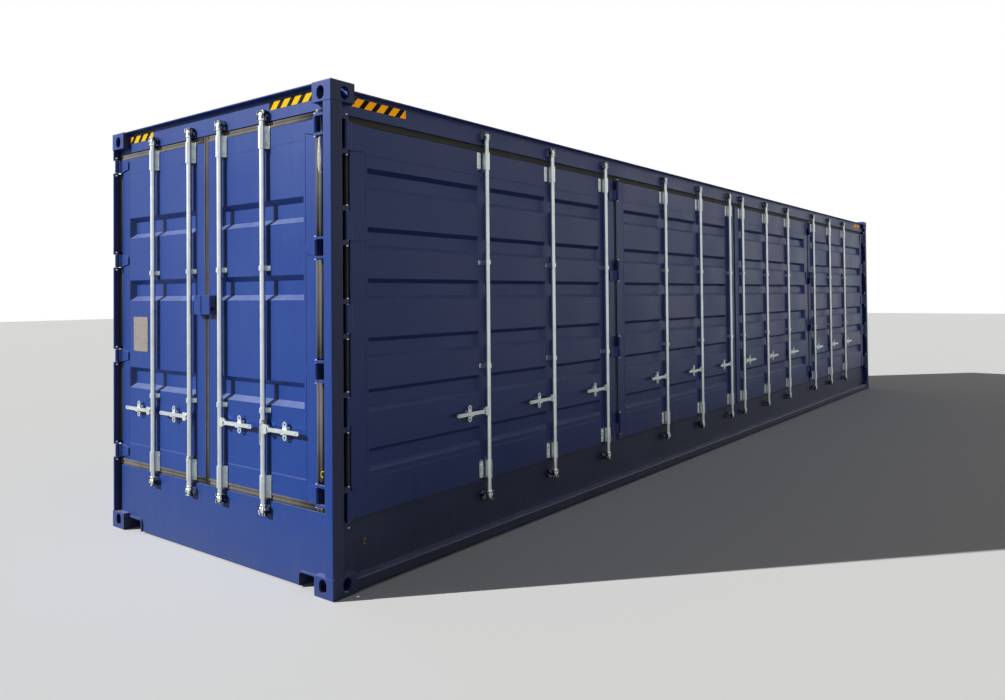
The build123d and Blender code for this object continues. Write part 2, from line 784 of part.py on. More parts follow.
def keeper(z_end, up, face):
    # A bent strap over the end of a rod, welded to the face behind it.
    side = Side.LEFT if up > 0 else Side.RIGHT
    near = z_end + up * keeper_gap
    line = [(-keeper_clearance, near - up * keeper_leg), (-keeper_clearance, near), (keeper_clearance, near),
            (keeper_clearance, near - up * keeper_leg)]
    return along_y(folded(line, keeper_plate, side), keeper_front, face)


# End doors with their gear
end_rod_z0 = sill_top - end_rod_below_sill
end_rod_z1 = header_bottom + end_rod_above_header
end_sleeve_z = [end_leaf_bottom + end_sleeve_lift, end_leaf_top - end_sleeve_drop]
end_keepers = [keeper(end_rod_z0, -1, gear_face), keeper(end_rod_z1, 1, gear_face)]
end_guides = [guide(leaf_face, guide_foot, end_leaf_bottom + lift, guide_height) for lift in end_guide_lift]
end_guides = end_guides + [guide(leaf_face, guide_foot, z, sleeve_height) for z in end_sleeve_z]
leaves = {
    "left": (left_inner, left_edge, left_edge, -1),
    "right": (right_edge, right_inner, right_edge, 1),
}
keepers = []
for side in ("left", "right"):
    y0, y1, hinge_edge, toward = leaves[side]
    flip = side == "right"
    hinge_y = right_pin_y if flip else left_pin_y
    node(side + "_door_frame", end_frame(y0, y1, hinge_y, flip))
    node(side + "_door_panel", [end_panel(y0, y1)])
    hinge_reach = hinge_edge - toward * seal_reach
    inner_reach = meeting - toward * seal_slit / 2
    node(side + "_door_seal", [end_seal(y0, y1, hinge_reach, inner_reach, flip)])
    rod = lock_rod(end_rod_z0, end_rod_z1, cam_nose, cam_nose, toward, handle_z)
    bar_handle = handle(toward, handle_z)
    bar_catch = catch(toward, handle_z)
    gear = []
    for place in ("outer", "inner"):
        y = hinge_edge + toward * end_rod_from_hinge[side + "_" + place]
        gear.extend([on_end(y, piece) for piece in end_guides + [bar_catch]])
        keepers.extend([on_end(y, piece) for piece in end_keepers])
        node(side + "_rod_" + place, [on_end(y, rod)])
        node(side + "_handle_" + place, [on_end(y, bar_handle)])
    node(side + "_door_guides", gear)


# Lock box in two halves, one on each end leaf, and the bare data plate
def half_box(y0, y1, y_wall):
    # A hood open below, behind and at the meeting edge, with its outer top corner rounded.
    z0 = box_top - box_height
    y_open = y0 if y_wall == y1 else y1
    step = plate if y_wall == y1 else -plate
    face = fillet((patch(y0, y1, z0, box_top)).vertices().sort_by_distance((y_wall, box_top))[0], box_corner)
    room = patch(y_open, y_wall - step, z0 - plate, box_top - plate)
    room = fillet(room.vertices().sort_by_distance((y_wall, box_top))[0], box_corner - plate)
    hood = along_x(face, end_x + post_inset, end_x + leaf_face)
    return hood - along_x(room, end_x + post_inset + plate, end_x + leaf_face)


box_left = box_right + box_width
right_half = half_box(box_right, meeting - seal_slit / 2, box_right)
hole = Pos(end_x + (post_inset + plate + leaf_face) / 2, box_top - box_height / 2) * Circle(box_hole)
right_half = right_half - along_y(hole, box_right, box_right + plate)
left_half = half_box(meeting + seal_slit / 2, box_left, box_left)
node("right_lock_box", [right_half])
node("left_lock_box", [left_half])
plate_y1 = left_edge - data_plate_from_hinge
plate_face = patch(plate_y1 - data_plate_width, plate_y1, data_plate_bottom,
                   data_plate_bottom + data_plate_height, data_plate_corner)
node("data_plate", [along_x(plate_face, leaf_x0 - data_plate_thickness, leaf_x0)])

# Side door leaves, drawn for the half nearer the end doors and mirrored to the other half
outer_start = -length / 2 + side_leaf_start
outer_end = outer_start + outer_leaf_width
fold_x = outer_end + fold_gap / 2
inner_start = outer_end + fold_gap
inner_end = -fold_gap / 2
outer_rods = [outer_start + reach for reach in outer_leaf_rods] + [outer_end - outer_leaf_last_rod]
inner_rods = [inner_start + reach for reach in inner_leaf_rods] + [inner_end - inner_leaf_last_rod]
half_leaves = [(outer_start, outer_end, outer_rods), (inner_start, inner_end, inner_rods)]
face_y = side_y + leaf_face
leaf_back_y = face_y + leaf_thickness
panel_z0 = side_leaf_bottom + side_bottom_member
panel_z1 = side_leaf_top - side_top_member
band_first = side_leaf_bottom + side_band_lift
band_pitch = (side_leaf_top - side_band_drop - band_first - side_band_pair) / 2
side_band_z = []
for i in range(3):
    side_band_z.extend([band_first + i * band_pitch, band_first + i * band_pitch + side_band_pair])


def channel(x, z0, z1):
    # The upright hollow behind a lock rod.
    half = channel_half + channel_bevel
    deep = face_y + band_depth
    face = outline((x - half, face_y), (x + half, face_y), (x + channel_half, deep), (x - channel_half, deep))
    return along_z(face, z0, z1)


def side_frame(a0, a1, rods):
    pieces = []
    for a, b in ((a0, a0 + side_margin), (a1 - side_margin, a1)):
        pieces.append(bar(patch(a, b, face_y, leaf_back_y), along_z, side_leaf_bottom, side_leaf_top, Axis.Z))
    cuts = [channel(x, side_leaf_bottom, side_leaf_top) for x in rods]
    pieces = [stile - cuts for stile in pieces]
    for z0, z1 in ((side_leaf_bottom, panel_z0), (panel_z1, side_leaf_top)):
        rail = bar(patch(face_y, leaf_back_y, z0, z1), along_x, a0 + side_margin + weld_gap,
                   a1 - side_margin - weld_gap, Axis.X)
        pieces.append(rail - cuts)
    return pieces


def side_panel(a0, a1, rods):
    a = a0 + side_margin + weld_gap
    b = a1 - side_margin - weld_gap
    run = side_band_bevel / 2
    z0 = panel_z0 + weld_gap
    z1 = panel_z1 - weld_gap
    hollows = []
    for z in side_band_z:
        hollows.append(frustum(facing_side, face_y, face_y + band_depth, a + run, b - run,
                               z - side_band_height / 2, z + side_band_height / 2, side_band_bevel))
    for x in rods:
        hollows.append(channel(x, z0, z1))
    field = patch(a, b, z0, z1)
    panel = pressed(along_y(field, face_y, face_y + sheet), hollows, (0, sheet, 0))
    return panel & along_y(field, face_y, leaf_back_y)


def side_seal(a0, a1):
    half = (fold_gap - seal_slit) / 2
    face = patch(a0 - half, a1 + half, side_sill_top, side_rail_bottom)
    face = face - patch(a0, a1, side_leaf_bottom, side_leaf_top)
    low = half - bead_width
    ridge = patch(a0 - half, a1 + half, side_leaf_bottom - low, side_leaf_top + half)
    ridge = ridge - patch(a0 - low, a1 + low, side_leaf_bottom - low, side_leaf_top + low)
    ridge = ridge & patch(a0 - half, a1 + half, side_sill_top, side_rail_bottom)
    strip = along_y(face, side_y + seal_face, side_y + seal_face + seal_thickness)
    return strip + along_y(ridge, side_y + seal_face - bead, side_y + seal_face)


def both_halves(pieces):
    return pieces + [mirror(piece, Plane.YZ) for piece in pieces]


frames = []
panels = []
seals = []
for a0, a1, rods in half_leaves:
    frames.extend(side_frame(a0, a1, rods))
    panels.append(side_panel(a0, a1, rods))
    seals.append(side_seal(a0, a1))
node("side_door_frames", both_halves(frames))
node("side_door_panels", both_halves(panels))
node("side_door_seals", both_halves(seals))

# Lock gear of the side doors
floor_s = leaf_face + band_depth
side_rod_z0 = side_sill_top - side_rod_below_sill
side_rod_z1 = side_rail_bottom + side_rod_above_rail
side_sleeve_z = [side_leaf_bottom + side_sleeve_lift, side_leaf_top - side_sleeve_drop]
low_nose = skirt_face - side_nose_gap - rod_axis
side_rod = lock_rod(side_rod_z0, side_rod_z1, low_nose, cam_nose, -1, side_handle_z)
side_gear = [guide(floor_s, channel_foot, side_leaf_bottom + lift, guide_height) for lift in side_guide_lift]
side_gear = side_gear + [guide(floor_s, channel_foot, z, side_sleeve_height) for z in side_sleeve_z]
side_gear = side_gear + [catch(-1, side_handle_z)]
side_keepers = [keeper(side_rod_z0, -1, skirt_face), keeper(side_rod_z1, 1, gear_face)]
half_rods = outer_rods + inner_rods
side_handle = handle(-1, side_handle_z)
node("side_lock_rods", both_halves([on_side(x, side_rod) for x in half_rods]))
node("side_rod_handles", both_halves([on_side(x, side_handle) for x in half_rods]))
node("side_rod_guides", both_halves([on_side(x, piece) for x in half_rods for piece in side_gear]))
keepers.extend(both_halves([on_side(x, piece) for x in half_rods for piece in side_keepers]))
node("lock_keepers", keepers)

# Hinges of the side doors
side_hinge_z = [side_leaf_bottom + lift for lift in side_hinge_lift]
side_hinge_z = side_hinge_z + [side_leaf_top - drop for drop in side_hinge_drop]
fold_hinge_z = [side_leaf_bottom + lift for lift in fold_hinge_lift]
fold_hinge_z = fold_hinge_z + [side_leaf_top - drop for drop in fold_hinge_drop]
side_edge = side_leaf_start - side_pin_from_end
side_pin_x = end_x + side_pin_from_end
post_blade = hinge_blade(side_edge, side_blade_length, side_blade_half, side_blade_tip_half, -side_blade_half,
                         side_blade_half)
upper_blade = hinge_blade(fold_gap / 2, fold_blade_length, fold_blade_half, fold_blade_tip_half, fold_slit,
                          fold_blade_half)
lower_blade = hinge_blade(fold_gap / 2, fold_blade_length, fold_blade_half, fold_blade_tip_half,
                          -fold_blade_half, -fold_slit)
blades = hinge_row(on_side, side_pin_x, False, side_hinge_z, post_blade)
blades = blades + hinge_row(on_side, fold_x, False, fold_hinge_z, upper_blade)
blades = blades + hinge_row(on_side, fold_x, True, fold_hinge_z, lower_blade)
node("side_hinge_blades", both_halves(blades))

side_reach = side_pin_from_end - side_lip_edge
side_room = side_blade_half + lug_clearance
side_lugs = []
for z in (side_room, -side_room - side_lug):
    side_lugs.extend(hinge_row(on_side, side_pin_x, False, side_hinge_z, hinge_lug(side_reach, side_lug, z)))
end_room = blade_half + lug_clearance
left_reach = left_pin_from_side - post_inset - plate
right_reach = right_pin_from_side - end_lip_edge
end_lugs = []
for z in (end_room, -end_room - lug_thickness):
    left_lug = hinge_lug(left_reach, lug_thickness, z)
    right_lug = hinge_lug(right_reach, lug_thickness, z)
    end_lugs.extend(hinge_row(on_end, left_pin_y, False, end_hinge_z, left_lug))
    end_lugs.extend(hinge_row(on_end, right_pin_y, True, end_hinge_z, right_lug))
node("hinge_lugs", end_lugs + both_halves(side_lugs))

end_pin = hinge_pin(end_room + lug_thickness)
pins = hinge_row(on_end, left_pin_y, False, end_hinge_z, end_pin)
pins = pins + hinge_row(on_end, right_pin_y, False, end_hinge_z, end_pin)
side_pins = hinge_row(on_side, side_pin_x, False, side_hinge_z, hinge_pin(side_room + side_lug))
fold_pins = hinge_row(on_side, fold_x, False, fold_hinge_z, hinge_pin(fold_blade_half))
node("hinge_pins", pins + both_halves(side_pins + fold_pins))


# Free cord ends, drawn in the frame of the rod or the pin that each is tied to
def cord(points):
    # A tube along straight runs joined by arcs that are as large as the runs allow.
    radii = []
    for a, b, c in zip(points, points[1:], points[2:]):
        before = Vector(*b) - Vector(*a)
        after = Vector(*c) - Vector(*b)
        turn = math.radians(before.get_angle(after))
        radii.append(0.45 * min(before.length, after.length) / math.tan(turn / 2))
    path = FilletPolyline(*points, radius=radii)
    section = Plane(origin=path @ 0, z_dir=path % 0) * Circle(cord_diameter / 2)
    tube = sweep(section, path=path)
    ideal = math.pi * cord_diameter ** 2 / 4 * path.length
    print("cord length", round(path.length, 1), "radii", [round(r, 1) for r in radii],
          "volume ratio", round(tube.volume / ideal, 4))
    return tube


# The end tied over the lower sleeve of the inner rod of the left door
wrap = rod_radius + cord_gap + cord_diameter / 2
wrap_x = wrap * math.tan(math.radians(30))
wrap_front = rod_axis - wrap
sleeve_top = end_sleeve_z[0] + sleeve_height / 2
sleeve_cord = [
    (31.0, 38.0, sleeve_top - 16.0), (26.0, 20.0, sleeve_top + 5.0), (wrap_x, wrap_front, sleeve_top + 10.0),
    (-13.0, wrap_front, sleeve_top + 11.0), (-27.0, 11.0, sleeve_top - 3.0), (-25.5, 17.0, sleeve_top - 36.0),
    (-27.5, 15.0, sleeve_top - 72.0), (-26.0, 19.0, sleeve_top - 108.0), (-25.0, 18.0, sleeve_top - 142.0),
    (-19.5, 10.0, sleeve_top - 172.0), (-17.0, 6.5, sleeve_top - 200.0), (-14.0, 4.0, sleeve_top - 222.0),
]
left_inner_rod_y = left_edge - end_rod_from_hinge["left_inner"]
node("left_sleeve_cord", [on_end(left_inner_rod_y, cord(sleeve_cord))])

# The end tied over the hub of the outer rod of the right door
hub_top = handle_z + hub_height / 2
handle_cord = [
    (18.0, 34.0, hub_top + 6.0), (22.5, 19.0, hub_top + 5.0), (wrap_x, wrap_front, hub_top + 4.0),
    (-wrap_x, wrap_front, hub_top + 2.0), (-20.5, 13.5, hub_top - 18.0), (-16.0, 6.5, hub_top - 50.0),
    (-13.5, 4.5, hub_top - 84.0), (-18.5, 8.5, hub_top - 114.0), (-20.0, 12.0, hub_top - 131.0),
]
right_outer_rod_y = right_edge + end_rod_from_hinge["right_outer"]
node("right_handle_cord", [on_end(right_outer_rod_y, cord(handle_cord))])

# The frayed end tied over the top hinge of the right door
top_lug = end_hinge_z[-1] + end_room + lug_thickness
low_lug = end_hinge_z[-1] - end_room - lug_thickness
knot_y = right_pin_y - 27.0
knot_z = top_lug + cord_gap + knot_radius
knot = Pos(end_x + pin_axis, knot_y, knot_z) * Sphere(knot_radius)
node("right_hinge_knot", [knot])
hank_top = low_lug - cord_gap
hank_rings = [(31.0, 12.0, 9.0, 0.0), (27.0, 11.0, 15.0, 73.0), (26.0, 12.0, 19.0, 163.0), (27.0, 7.0, 9.0, 214.0)]
hank_faces = []
for d, half_d, half_y, down in hank_rings:
    ring = Plane(origin=(end_x + d, right_pin_y - 33.0, hank_top - down))
    hank_faces.append(ring * Ellipse(half_d, half_y))
node("right_hinge_hank", [loft(hank_faces)])
strand = [
    (end_x + 35.6, knot_y + 1.0, knot_z - 2.0), (end_x + 38.5, knot_y + 3.0, top_lug - 16.0),
    (end_x + 40.0, knot_y - 1.0, top_lug - 58.0), (end_x + 38.5, knot_y - 5.0, low_lug + 28.0),
    (end_x + 37.5, knot_y - 6.0, hank_top + cord_gap),
]
node("right_hinge_cord", [cord(strand)])
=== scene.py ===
import bmesh
import bpy
import math
import random
from mathutils import Matrix, Vector


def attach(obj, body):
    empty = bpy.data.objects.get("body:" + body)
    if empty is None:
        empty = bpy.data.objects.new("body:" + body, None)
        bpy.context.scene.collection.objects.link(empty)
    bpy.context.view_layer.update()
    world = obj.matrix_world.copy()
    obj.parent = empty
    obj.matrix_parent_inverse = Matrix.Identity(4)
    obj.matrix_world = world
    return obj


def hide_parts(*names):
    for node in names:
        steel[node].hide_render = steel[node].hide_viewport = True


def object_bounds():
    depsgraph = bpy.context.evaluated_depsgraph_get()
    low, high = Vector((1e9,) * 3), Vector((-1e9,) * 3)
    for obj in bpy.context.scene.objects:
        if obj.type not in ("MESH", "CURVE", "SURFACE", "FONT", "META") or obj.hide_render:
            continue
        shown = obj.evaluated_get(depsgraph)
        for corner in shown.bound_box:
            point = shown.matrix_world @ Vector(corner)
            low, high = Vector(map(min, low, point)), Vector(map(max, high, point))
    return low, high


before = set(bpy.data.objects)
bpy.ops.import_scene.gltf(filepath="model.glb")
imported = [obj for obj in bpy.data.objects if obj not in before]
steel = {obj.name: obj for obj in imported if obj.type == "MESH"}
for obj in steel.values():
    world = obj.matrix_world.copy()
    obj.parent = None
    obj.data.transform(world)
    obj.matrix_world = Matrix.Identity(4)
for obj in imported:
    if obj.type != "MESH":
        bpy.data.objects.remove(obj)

# The bare steelwork as it comes from the shop, before any paint.
# Its outer box is noted now; its near end and its side give the faces from which the added pieces are placed.
steelwork_low, steelwork_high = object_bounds()
door_end = steelwork_low.x
side_face = steelwork_low.y


# Where the photographer stood: at eye height, four and a half metres from the corner between the end doors
# and the side doors, with a wide lens. The heading turns from +Y towards +X, and the picture was cut so
# that the lens axis lies a little left of its middle and above it.
standing_point = Vector((-9.0374, -4.6080, 1.6802))
heading = math.radians(51.695)
upward_tilt = math.radians(0.952)
sideways_roll = math.radians(-0.499)
picture_width = 1005
picture_height = 700
focal_pixels = 798.66
axis_pixel_x = 483.16
axis_pixel_y = 281.90

forward = Vector((math.sin(heading) * math.cos(upward_tilt), math.cos(heading) * math.cos(upward_tilt),
                  math.sin(upward_tilt)))
level_right = Vector((math.cos(heading), -math.sin(heading), 0.0))
level_up = level_right.cross(forward)
right = math.cos(sideways_roll) * level_right + math.sin(sideways_roll) * level_up
up = math.cos(sideways_roll) * level_up - math.sin(sideways_roll) * level_right
lens = bpy.data.cameras.new("photographer")
lens.sensor_fit = "HORIZONTAL"
lens.sensor_width = 36.0
lens.lens = focal_pixels * lens.sensor_width / picture_width
lens.shift_x = (picture_width / 2 - axis_pixel_x) / picture_width
lens.shift_y = (axis_pixel_y - picture_height / 2) / picture_width
lens.clip_end = 500.0
photographer = bpy.data.objects.new("photographer", lens)
bpy.context.scene.collection.objects.link(photographer)
photographer.matrix_world = Matrix((
    (right.x, up.x, -forward.x, standing_point.x),
    (right.y, up.y, -forward.y, standing_point.y),
    (right.z, up.z, -forward.z, standing_point.z),
    (0.0, 0.0, 0.0, 1.0),
))
bpy.context.scene.camera = photographer
bpy.context.scene.view_settings.view_transform = "Standard"


# The studio: a wide pale floor, a bright even surround, and one large lamp high on the left that lights
# the door end and leaves the side with the folding doors in soft shade, as the sun did.
def linear(hex_colour):
    channels = []
    for place in (1, 3, 5):
        value = int(hex_colour[place:place + 2], 16) / 255.0
        channels.append(value / 12.92 if value <= 0.04045 else ((value + 0.055) / 1.055) ** 2.4)
    return (channels[0], channels[1], channels[2], 1.0)


def add(tree, kind, inputs=None, **settings):
    made = tree.nodes.new(kind)
    for name, value in settings.items():
        setattr(made, name, value)
    for socket, value in (inputs or {}).items():
        if isinstance(value, bpy.types.NodeSocket):
            tree.links.new(value, made.inputs[socket])
        else:
            made.inputs[socket].default_value = value
    return made


surround_white = 1.0
surround_light = 0.12
surround = bpy.data.worlds.new("studio_surround")
surround.use_nodes = True
air = surround.node_tree
air.nodes.clear()
seen_by = add(air, "ShaderNodeLightPath")
seen_or_mirrored = add(air, "ShaderNodeMath", {0: seen_by.outputs["Is Camera Ray"],
                                               1: seen_by.outputs["Is Glossy Ray"]}, operation="MAXIMUM")
level = add(air, "ShaderNodeMapRange", {"Value": seen_or_mirrored.outputs[0], "To Min": surround_light,
                                        "To Max": surround_white})
glow = add(air, "ShaderNodeBackground", {"Color": (1.0, 1.0, 1.0, 1.0), "Strength": level.outputs[0]})
add(air, "ShaderNodeOutputWorld", {"Surface": glow.outputs[0]})
bpy.context.scene.world = surround

floor_reach = 60.0
floor_mesh = bpy.data.meshes.new("studio_floor")
floor_mesh.from_pydata([(-floor_reach, -floor_reach, 0.0), (floor_reach, -floor_reach, 0.0),
                        (floor_reach, floor_reach, 0.0), (-floor_reach, floor_reach, 0.0)], [], [(0, 1, 2, 3)])
studio_floor = bpy.data.objects.new("studio_floor", floor_mesh)
bpy.context.scene.collection.objects.link(studio_floor)
floor_coat = bpy.data.materials.new("pale_floor_paint")
floor_coat.use_nodes = True
# The floor looks pale, and what it throws back onto the paint is as little as dull asphalt would.
floor_tree = floor_coat.node_tree
floor_seen = add(floor_tree, "ShaderNodeLightPath")
floor_in_view = add(floor_tree, "ShaderNodeMath", {0: floor_seen.outputs["Is Camera Ray"],
                                                   1: floor_seen.outputs["Is Glossy Ray"]}, operation="MAXIMUM")
floor_tone = add(floor_tree, "ShaderNodeMix", {"Factor": floor_in_view.outputs[0], "A": linear("#525250"),
                                               "B": linear("#ececea")}, data_type="RGBA")
floor_face = floor_tree.nodes["Principled BSDF"]
floor_tree.links.new(floor_tone.outputs["Result"], floor_face.inputs["Base Color"])
floor_face.inputs["Roughness"].default_value = 0.9
floor_face.inputs["Specular IOR Level"].default_value = 0.1
floor_mesh.materials.append(floor_coat)

key_light = bpy.data.lights.new("key_lamp", "SUN")
key_light.energy = 4.35
key_light.angle = math.radians(0.6)
key_lamp = bpy.data.objects.new("key_lamp", key_light)
key_travel = Vector((1.0, -0.87, -0.72))
key_lamp.rotation_euler = key_travel.to_track_quat("-Z", "Y").to_euler()
bpy.context.scene.collection.objects.link(key_lamp)


# The coat on all steelwork: a marine blue alkyd paint, sprayed on blasted weathering steel. It is half
# glossy, a little wavy over large sheets, chalked by the sun, streaked by rain and dusty where it lies flat,
# with painted highlight where it faces up and painted shade where it faces the side doors.
def new_finish(name):
    # An empty material, its nodes, and the piece's own coordinates in metres, which its patterns follow.
    finish = bpy.data.materials.new(name)
    finish.use_nodes = True
    finish.node_tree.nodes.clear()
    return finish, finish.node_tree, add(finish.node_tree, "ShaderNodeTexCoord").outputs["Object"]


def in_patches(tree, under, over, noise, low, high, most):
    # Wear in patches: the second colour covers the first from where the noise passes low, and most of it
    # from where it passes high.
    share = add(tree, "ShaderNodeMapRange", {"Value": noise.outputs["Fac"], "From Min": low, "From Max": high,
                                             "To Min": 0.0, "To Max": most})
    worn = add(tree, "ShaderNodeMix", {"Factor": share.outputs[0], "A": under, "B": over}, data_type="RGBA")
    return worn.outputs["Result"]


def marine_blue_alkyd(name, colour, chalk, chalk_share, streak_share, dust_and_highlight_share, side_shade_share, roughness, sheen):
    coat, tree, place = new_finish(name)
    # Chalking varies over patches of about half a metre.
    patches = add(tree, "ShaderNodeTexNoise", {"Vector": place, "Scale": 1.7, "Detail": 5.0, "Roughness": 0.6})
    chalked = in_patches(tree, linear(colour), linear(chalk), patches, 0.35, 0.75, chalk_share)
    # Rain runs leave marks a few centimetres wide and up to a metre long.
    stretched = add(tree, "ShaderNodeMapping", {"Vector": place, "Scale": (22.0, 22.0, 0.9)})
    runs = add(tree, "ShaderNodeTexNoise", {"Vector": stretched.outputs[0], "Scale": 1.0, "Detail": 6.0,
                                            "Roughness": 0.65})
    streaked = in_patches(tree, chalked, linear("#7d8088"), runs, 0.5, 0.8, streak_share)
    # Road spray dulls the lowest half metre, thickest at the ground.
    spray = add(tree, "ShaderNodeSeparateXYZ", {0: place})
    splashes = add(tree, "ShaderNodeTexNoise", {"Vector": place, "Scale": 7.0, "Detail": 7.0, "Roughness": 0.7})
    splash_height = add(tree, "ShaderNodeMapRange", {"Value": spray.outputs["Z"], "From Min": 0.0,
                                                     "From Max": 0.55, "To Min": 0.5, "To Max": 0.0})
    splash_share = add(tree, "ShaderNodeMath", {0: splash_height.outputs[0], 1: splashes.outputs["Fac"]},
                       operation="MULTIPLY")
    sprayed = add(tree, "ShaderNodeMix", {"Factor": splash_share.outputs[0], "A": streaked,
                                          "B": linear("#59595f")}, data_type="RGBA")
    # Dust settles on whatever faces up; its pale blue is also a painted highlight on the up-facing slopes.
    surface = add(tree, "ShaderNodeNewGeometry")
    tilt = add(tree, "ShaderNodeSeparateXYZ", {0: surface.outputs["Normal"]})
    grains = add(tree, "ShaderNodeTexNoise", {"Vector": place, "Scale": 9.0, "Detail": 8.0, "Roughness": 0.7})
    flatness = add(tree, "ShaderNodeMapRange", {"Value": tilt.outputs["Z"], "From Min": 0.25, "From Max": 0.95,
                                                "To Min": 0.0, "To Max": 1.0})
    settled_dust_and_highlight = add(tree, "ShaderNodeMath", {0: flatness.outputs[0], 1: grains.outputs["Fac"]},
                  operation="MULTIPLY")
    dust_and_highlight_amount = add(tree, "ShaderNodeMath", {0: settled_dust_and_highlight.outputs[0], 1: dust_and_highlight_share}, operation="MULTIPLY")
    dusty_and_highlighted = add(tree, "ShaderNodeMix", {"Factor": dust_and_highlight_amount.outputs[0], "A": sprayed.outputs["Result"],
                                        "B": linear("#a3aed0")}, data_type="RGBA")
    # Painted shade: faces that look towards the side doors are blended towards a grey blue, as that side looks in
    # shade.
    painted_side_shade = add(tree, "ShaderNodeMapRange", {"Value": tilt.outputs["Y"], "From Min": -0.5, "From Max": -0.9,
                                                 "To Min": 0.0, "To Max": side_shade_share})
    side_shaded_tone = add(tree, "ShaderNodeMix", {"Factor": painted_side_shade.outputs[0], "A": dusty_and_highlighted.outputs["Result"],
                                       "B": linear("#585d80")}, data_type="RGBA")
    # Chips down to the steel have rusted; they are a few millimetres across and rare.
    chips = add(tree, "ShaderNodeTexNoise", {"Vector": place, "Scale": 26.0, "Detail": 9.0, "Roughness": 0.72})
    chipped = in_patches(tree, side_shaded_tone.outputs["Result"], linear("#5c3a28"), chips, 0.745, 0.77, 0.8)
    gloss = add(tree, "ShaderNodeMapRange", {"Value": patches.outputs["Fac"], "From Min": 0.3,
                                             "From Max": 0.7, "To Min": roughness - 0.06,
                                             "To Max": roughness + 0.1})
    # Sheets this thin are never flat: they swell by a millimetre or two over a third of a metre.
    swells = add(tree, "ShaderNodeTexNoise", {"Vector": place, "Scale": 3.1, "Detail": 1.0})
    wavy = add(tree, "ShaderNodeBump", {"Strength": 0.35, "Distance": 0.004, "Height": swells.outputs["Fac"]})
    # The sprayed skin has an orange peel of about two millimetres, drawn twice as coarse so that it shows.
    peel = add(tree, "ShaderNodeTexNoise", {"Vector": place, "Scale": 230.0, "Detail": 2.0})
    skin = add(tree, "ShaderNodeBump", {"Strength": 0.12, "Distance": 0.0006, "Height": peel.outputs["Fac"],
                                        "Normal": wavy.outputs["Normal"]})
    paint = add(tree, "ShaderNodeBsdfPrincipled", {"Base Color": chipped, "Roughness": gloss.outputs[0],
                                                   "IOR": 1.48, "Specular IOR Level": sheen,
                                                   "Normal": skin.outputs["Normal"]})
    add(tree, "ShaderNodeOutputMaterial", {"Surface": paint.outputs[0]})
    return coat


def coat_nodes(material, names):
    for name in names:
        steel[name].data.materials.clear()
        steel[name].data.materials.append(material)


frame_blue = marine_blue_alkyd("frame_blue_alkyd", "#1d408e", "#3c5a90", chalk_share=0.14, streak_share=0.08,
                               dust_and_highlight_share=0.9, side_shade_share=0.85, roughness=0.40, sheen=0.24)
door_blue = marine_blue_alkyd("end_door_blue_alkyd", "#1c4191", "#3a5b96", chalk_share=0.12, streak_share=0.07,
                              dust_and_highlight_share=1.0, side_shade_share=0.85, roughness=0.36, sheen=0.24)
# The side doors' coat is a lighter copy of the same paint: painted light that lifts them out of their shade.
side_blue_painted_light = marine_blue_alkyd("side_door_blue_alkyd_painted_light", "#394f98", "#69729a", chalk_share=0.20, streak_share=0.10,
                              dust_and_highlight_share=0.5, side_shade_share=0.0, roughness=0.40, sheen=0.36)
# The skirt's coat is a darker copy of the same paint: painted shade for its recess below the side doors.
skirt_blue_painted_shade = marine_blue_alkyd("skirt_alkyd_painted_shade", "#243058", "#4c5370", chalk_share=0.18, streak_share=0.08,
                               dust_and_highlight_share=0.6, side_shade_share=0.0, roughness=0.44, sheen=0.42)
coat_nodes(frame_blue, ["corner_castings_bottom", "corner_castings_top", "corner_posts_door_end",
                        "corner_posts_blind_end", "door_header", "door_sill", "blind_end_rails",
                        "top_rail_closed_side", "bottom_rail_closed_side",
                        "roof_panel", "closed_side_wall", "blind_end_wall", "hinge_lugs"])
coat_nodes(door_blue, ["left_door_frame", "left_door_panel", "right_door_frame", "right_door_panel",
                       "left_lock_box", "right_lock_box"])
coat_nodes(side_blue_painted_light, ["side_door_frames", "side_door_panels", "side_hinge_blades", "top_rail_side_doors"])
coat_nodes(skirt_blue_painted_shade, ["bottom_rail_side_doors"])


# Hazard stripes on the header and on the top rail of the side doors, beside the top castings. They are cut
# from black film with slanted yellow bars, half a millimetre thick, stuck on the paint and a little faded.
film_bottom = 2.809
film_height = 0.052
film_thickness = 0.0005
bar_pitch = 0.099
bar_width = 0.057
bar_lean = 0.046


def faded_film(name, colour, grime, painted_glow):
    # Painted light: a film may glow a little by emission of its own colour; the amber one does, so that it stays
    # bright in shade.
    film, tree, place = new_finish(name)
    # Grime collects in blots of about a centimetre.
    blots = add(tree, "ShaderNodeTexNoise", {"Vector": place, "Scale": 70.0, "Detail": 6.0, "Roughness": 0.7})
    soiled = in_patches(tree, linear(colour), linear(grime), blots, 0.45, 0.8, 0.5)
    face = add(tree, "ShaderNodeBsdfPrincipled", {"Base Color": soiled, "Roughness": 0.42,
                                                  "IOR": 1.46, "Specular IOR Level": 0.06,
                                                  "Emission Color": linear(colour),
                                                  "Emission Strength": painted_glow})
    add(tree, "ShaderNodeOutputMaterial", {"Surface": face.outputs[0]})
    return film


film_yellow = faded_film("faded_yellow_film", "#ffcc00", "#dba810", 0.0)
film_amber = faded_film("faded_amber_film_painted_glow", "#ffab14", "#d28c1e", 0.50)
film_black = faded_film("faded_black_film", "#0c0a12", "#1c1a22", 0.0)


def clipped_bar(start, low, high):
    # One slanted bar, cut off square where it runs past an end of its strip.
    corners = [(start, 0.0), (start + bar_width, 0.0), (start + bar_width + bar_lean, film_height),
               (start + bar_lean, film_height)]
    for limit, keep_below in ((low, False), (high, True)):
        kept = []
        for here, there in zip(corners, corners[1:] + corners[:1]):
            inside_here = here[0] <= limit if keep_below else here[0] >= limit
            inside_there = there[0] <= limit if keep_below else there[0] >= limit
            if inside_here:
                kept.append(here)
            if inside_here != inside_there:
                share = (limit - here[0]) / (there[0] - here[0])
                kept.append((limit, here[1] + share * (there[1] - here[1])))
        corners = kept
    return corners


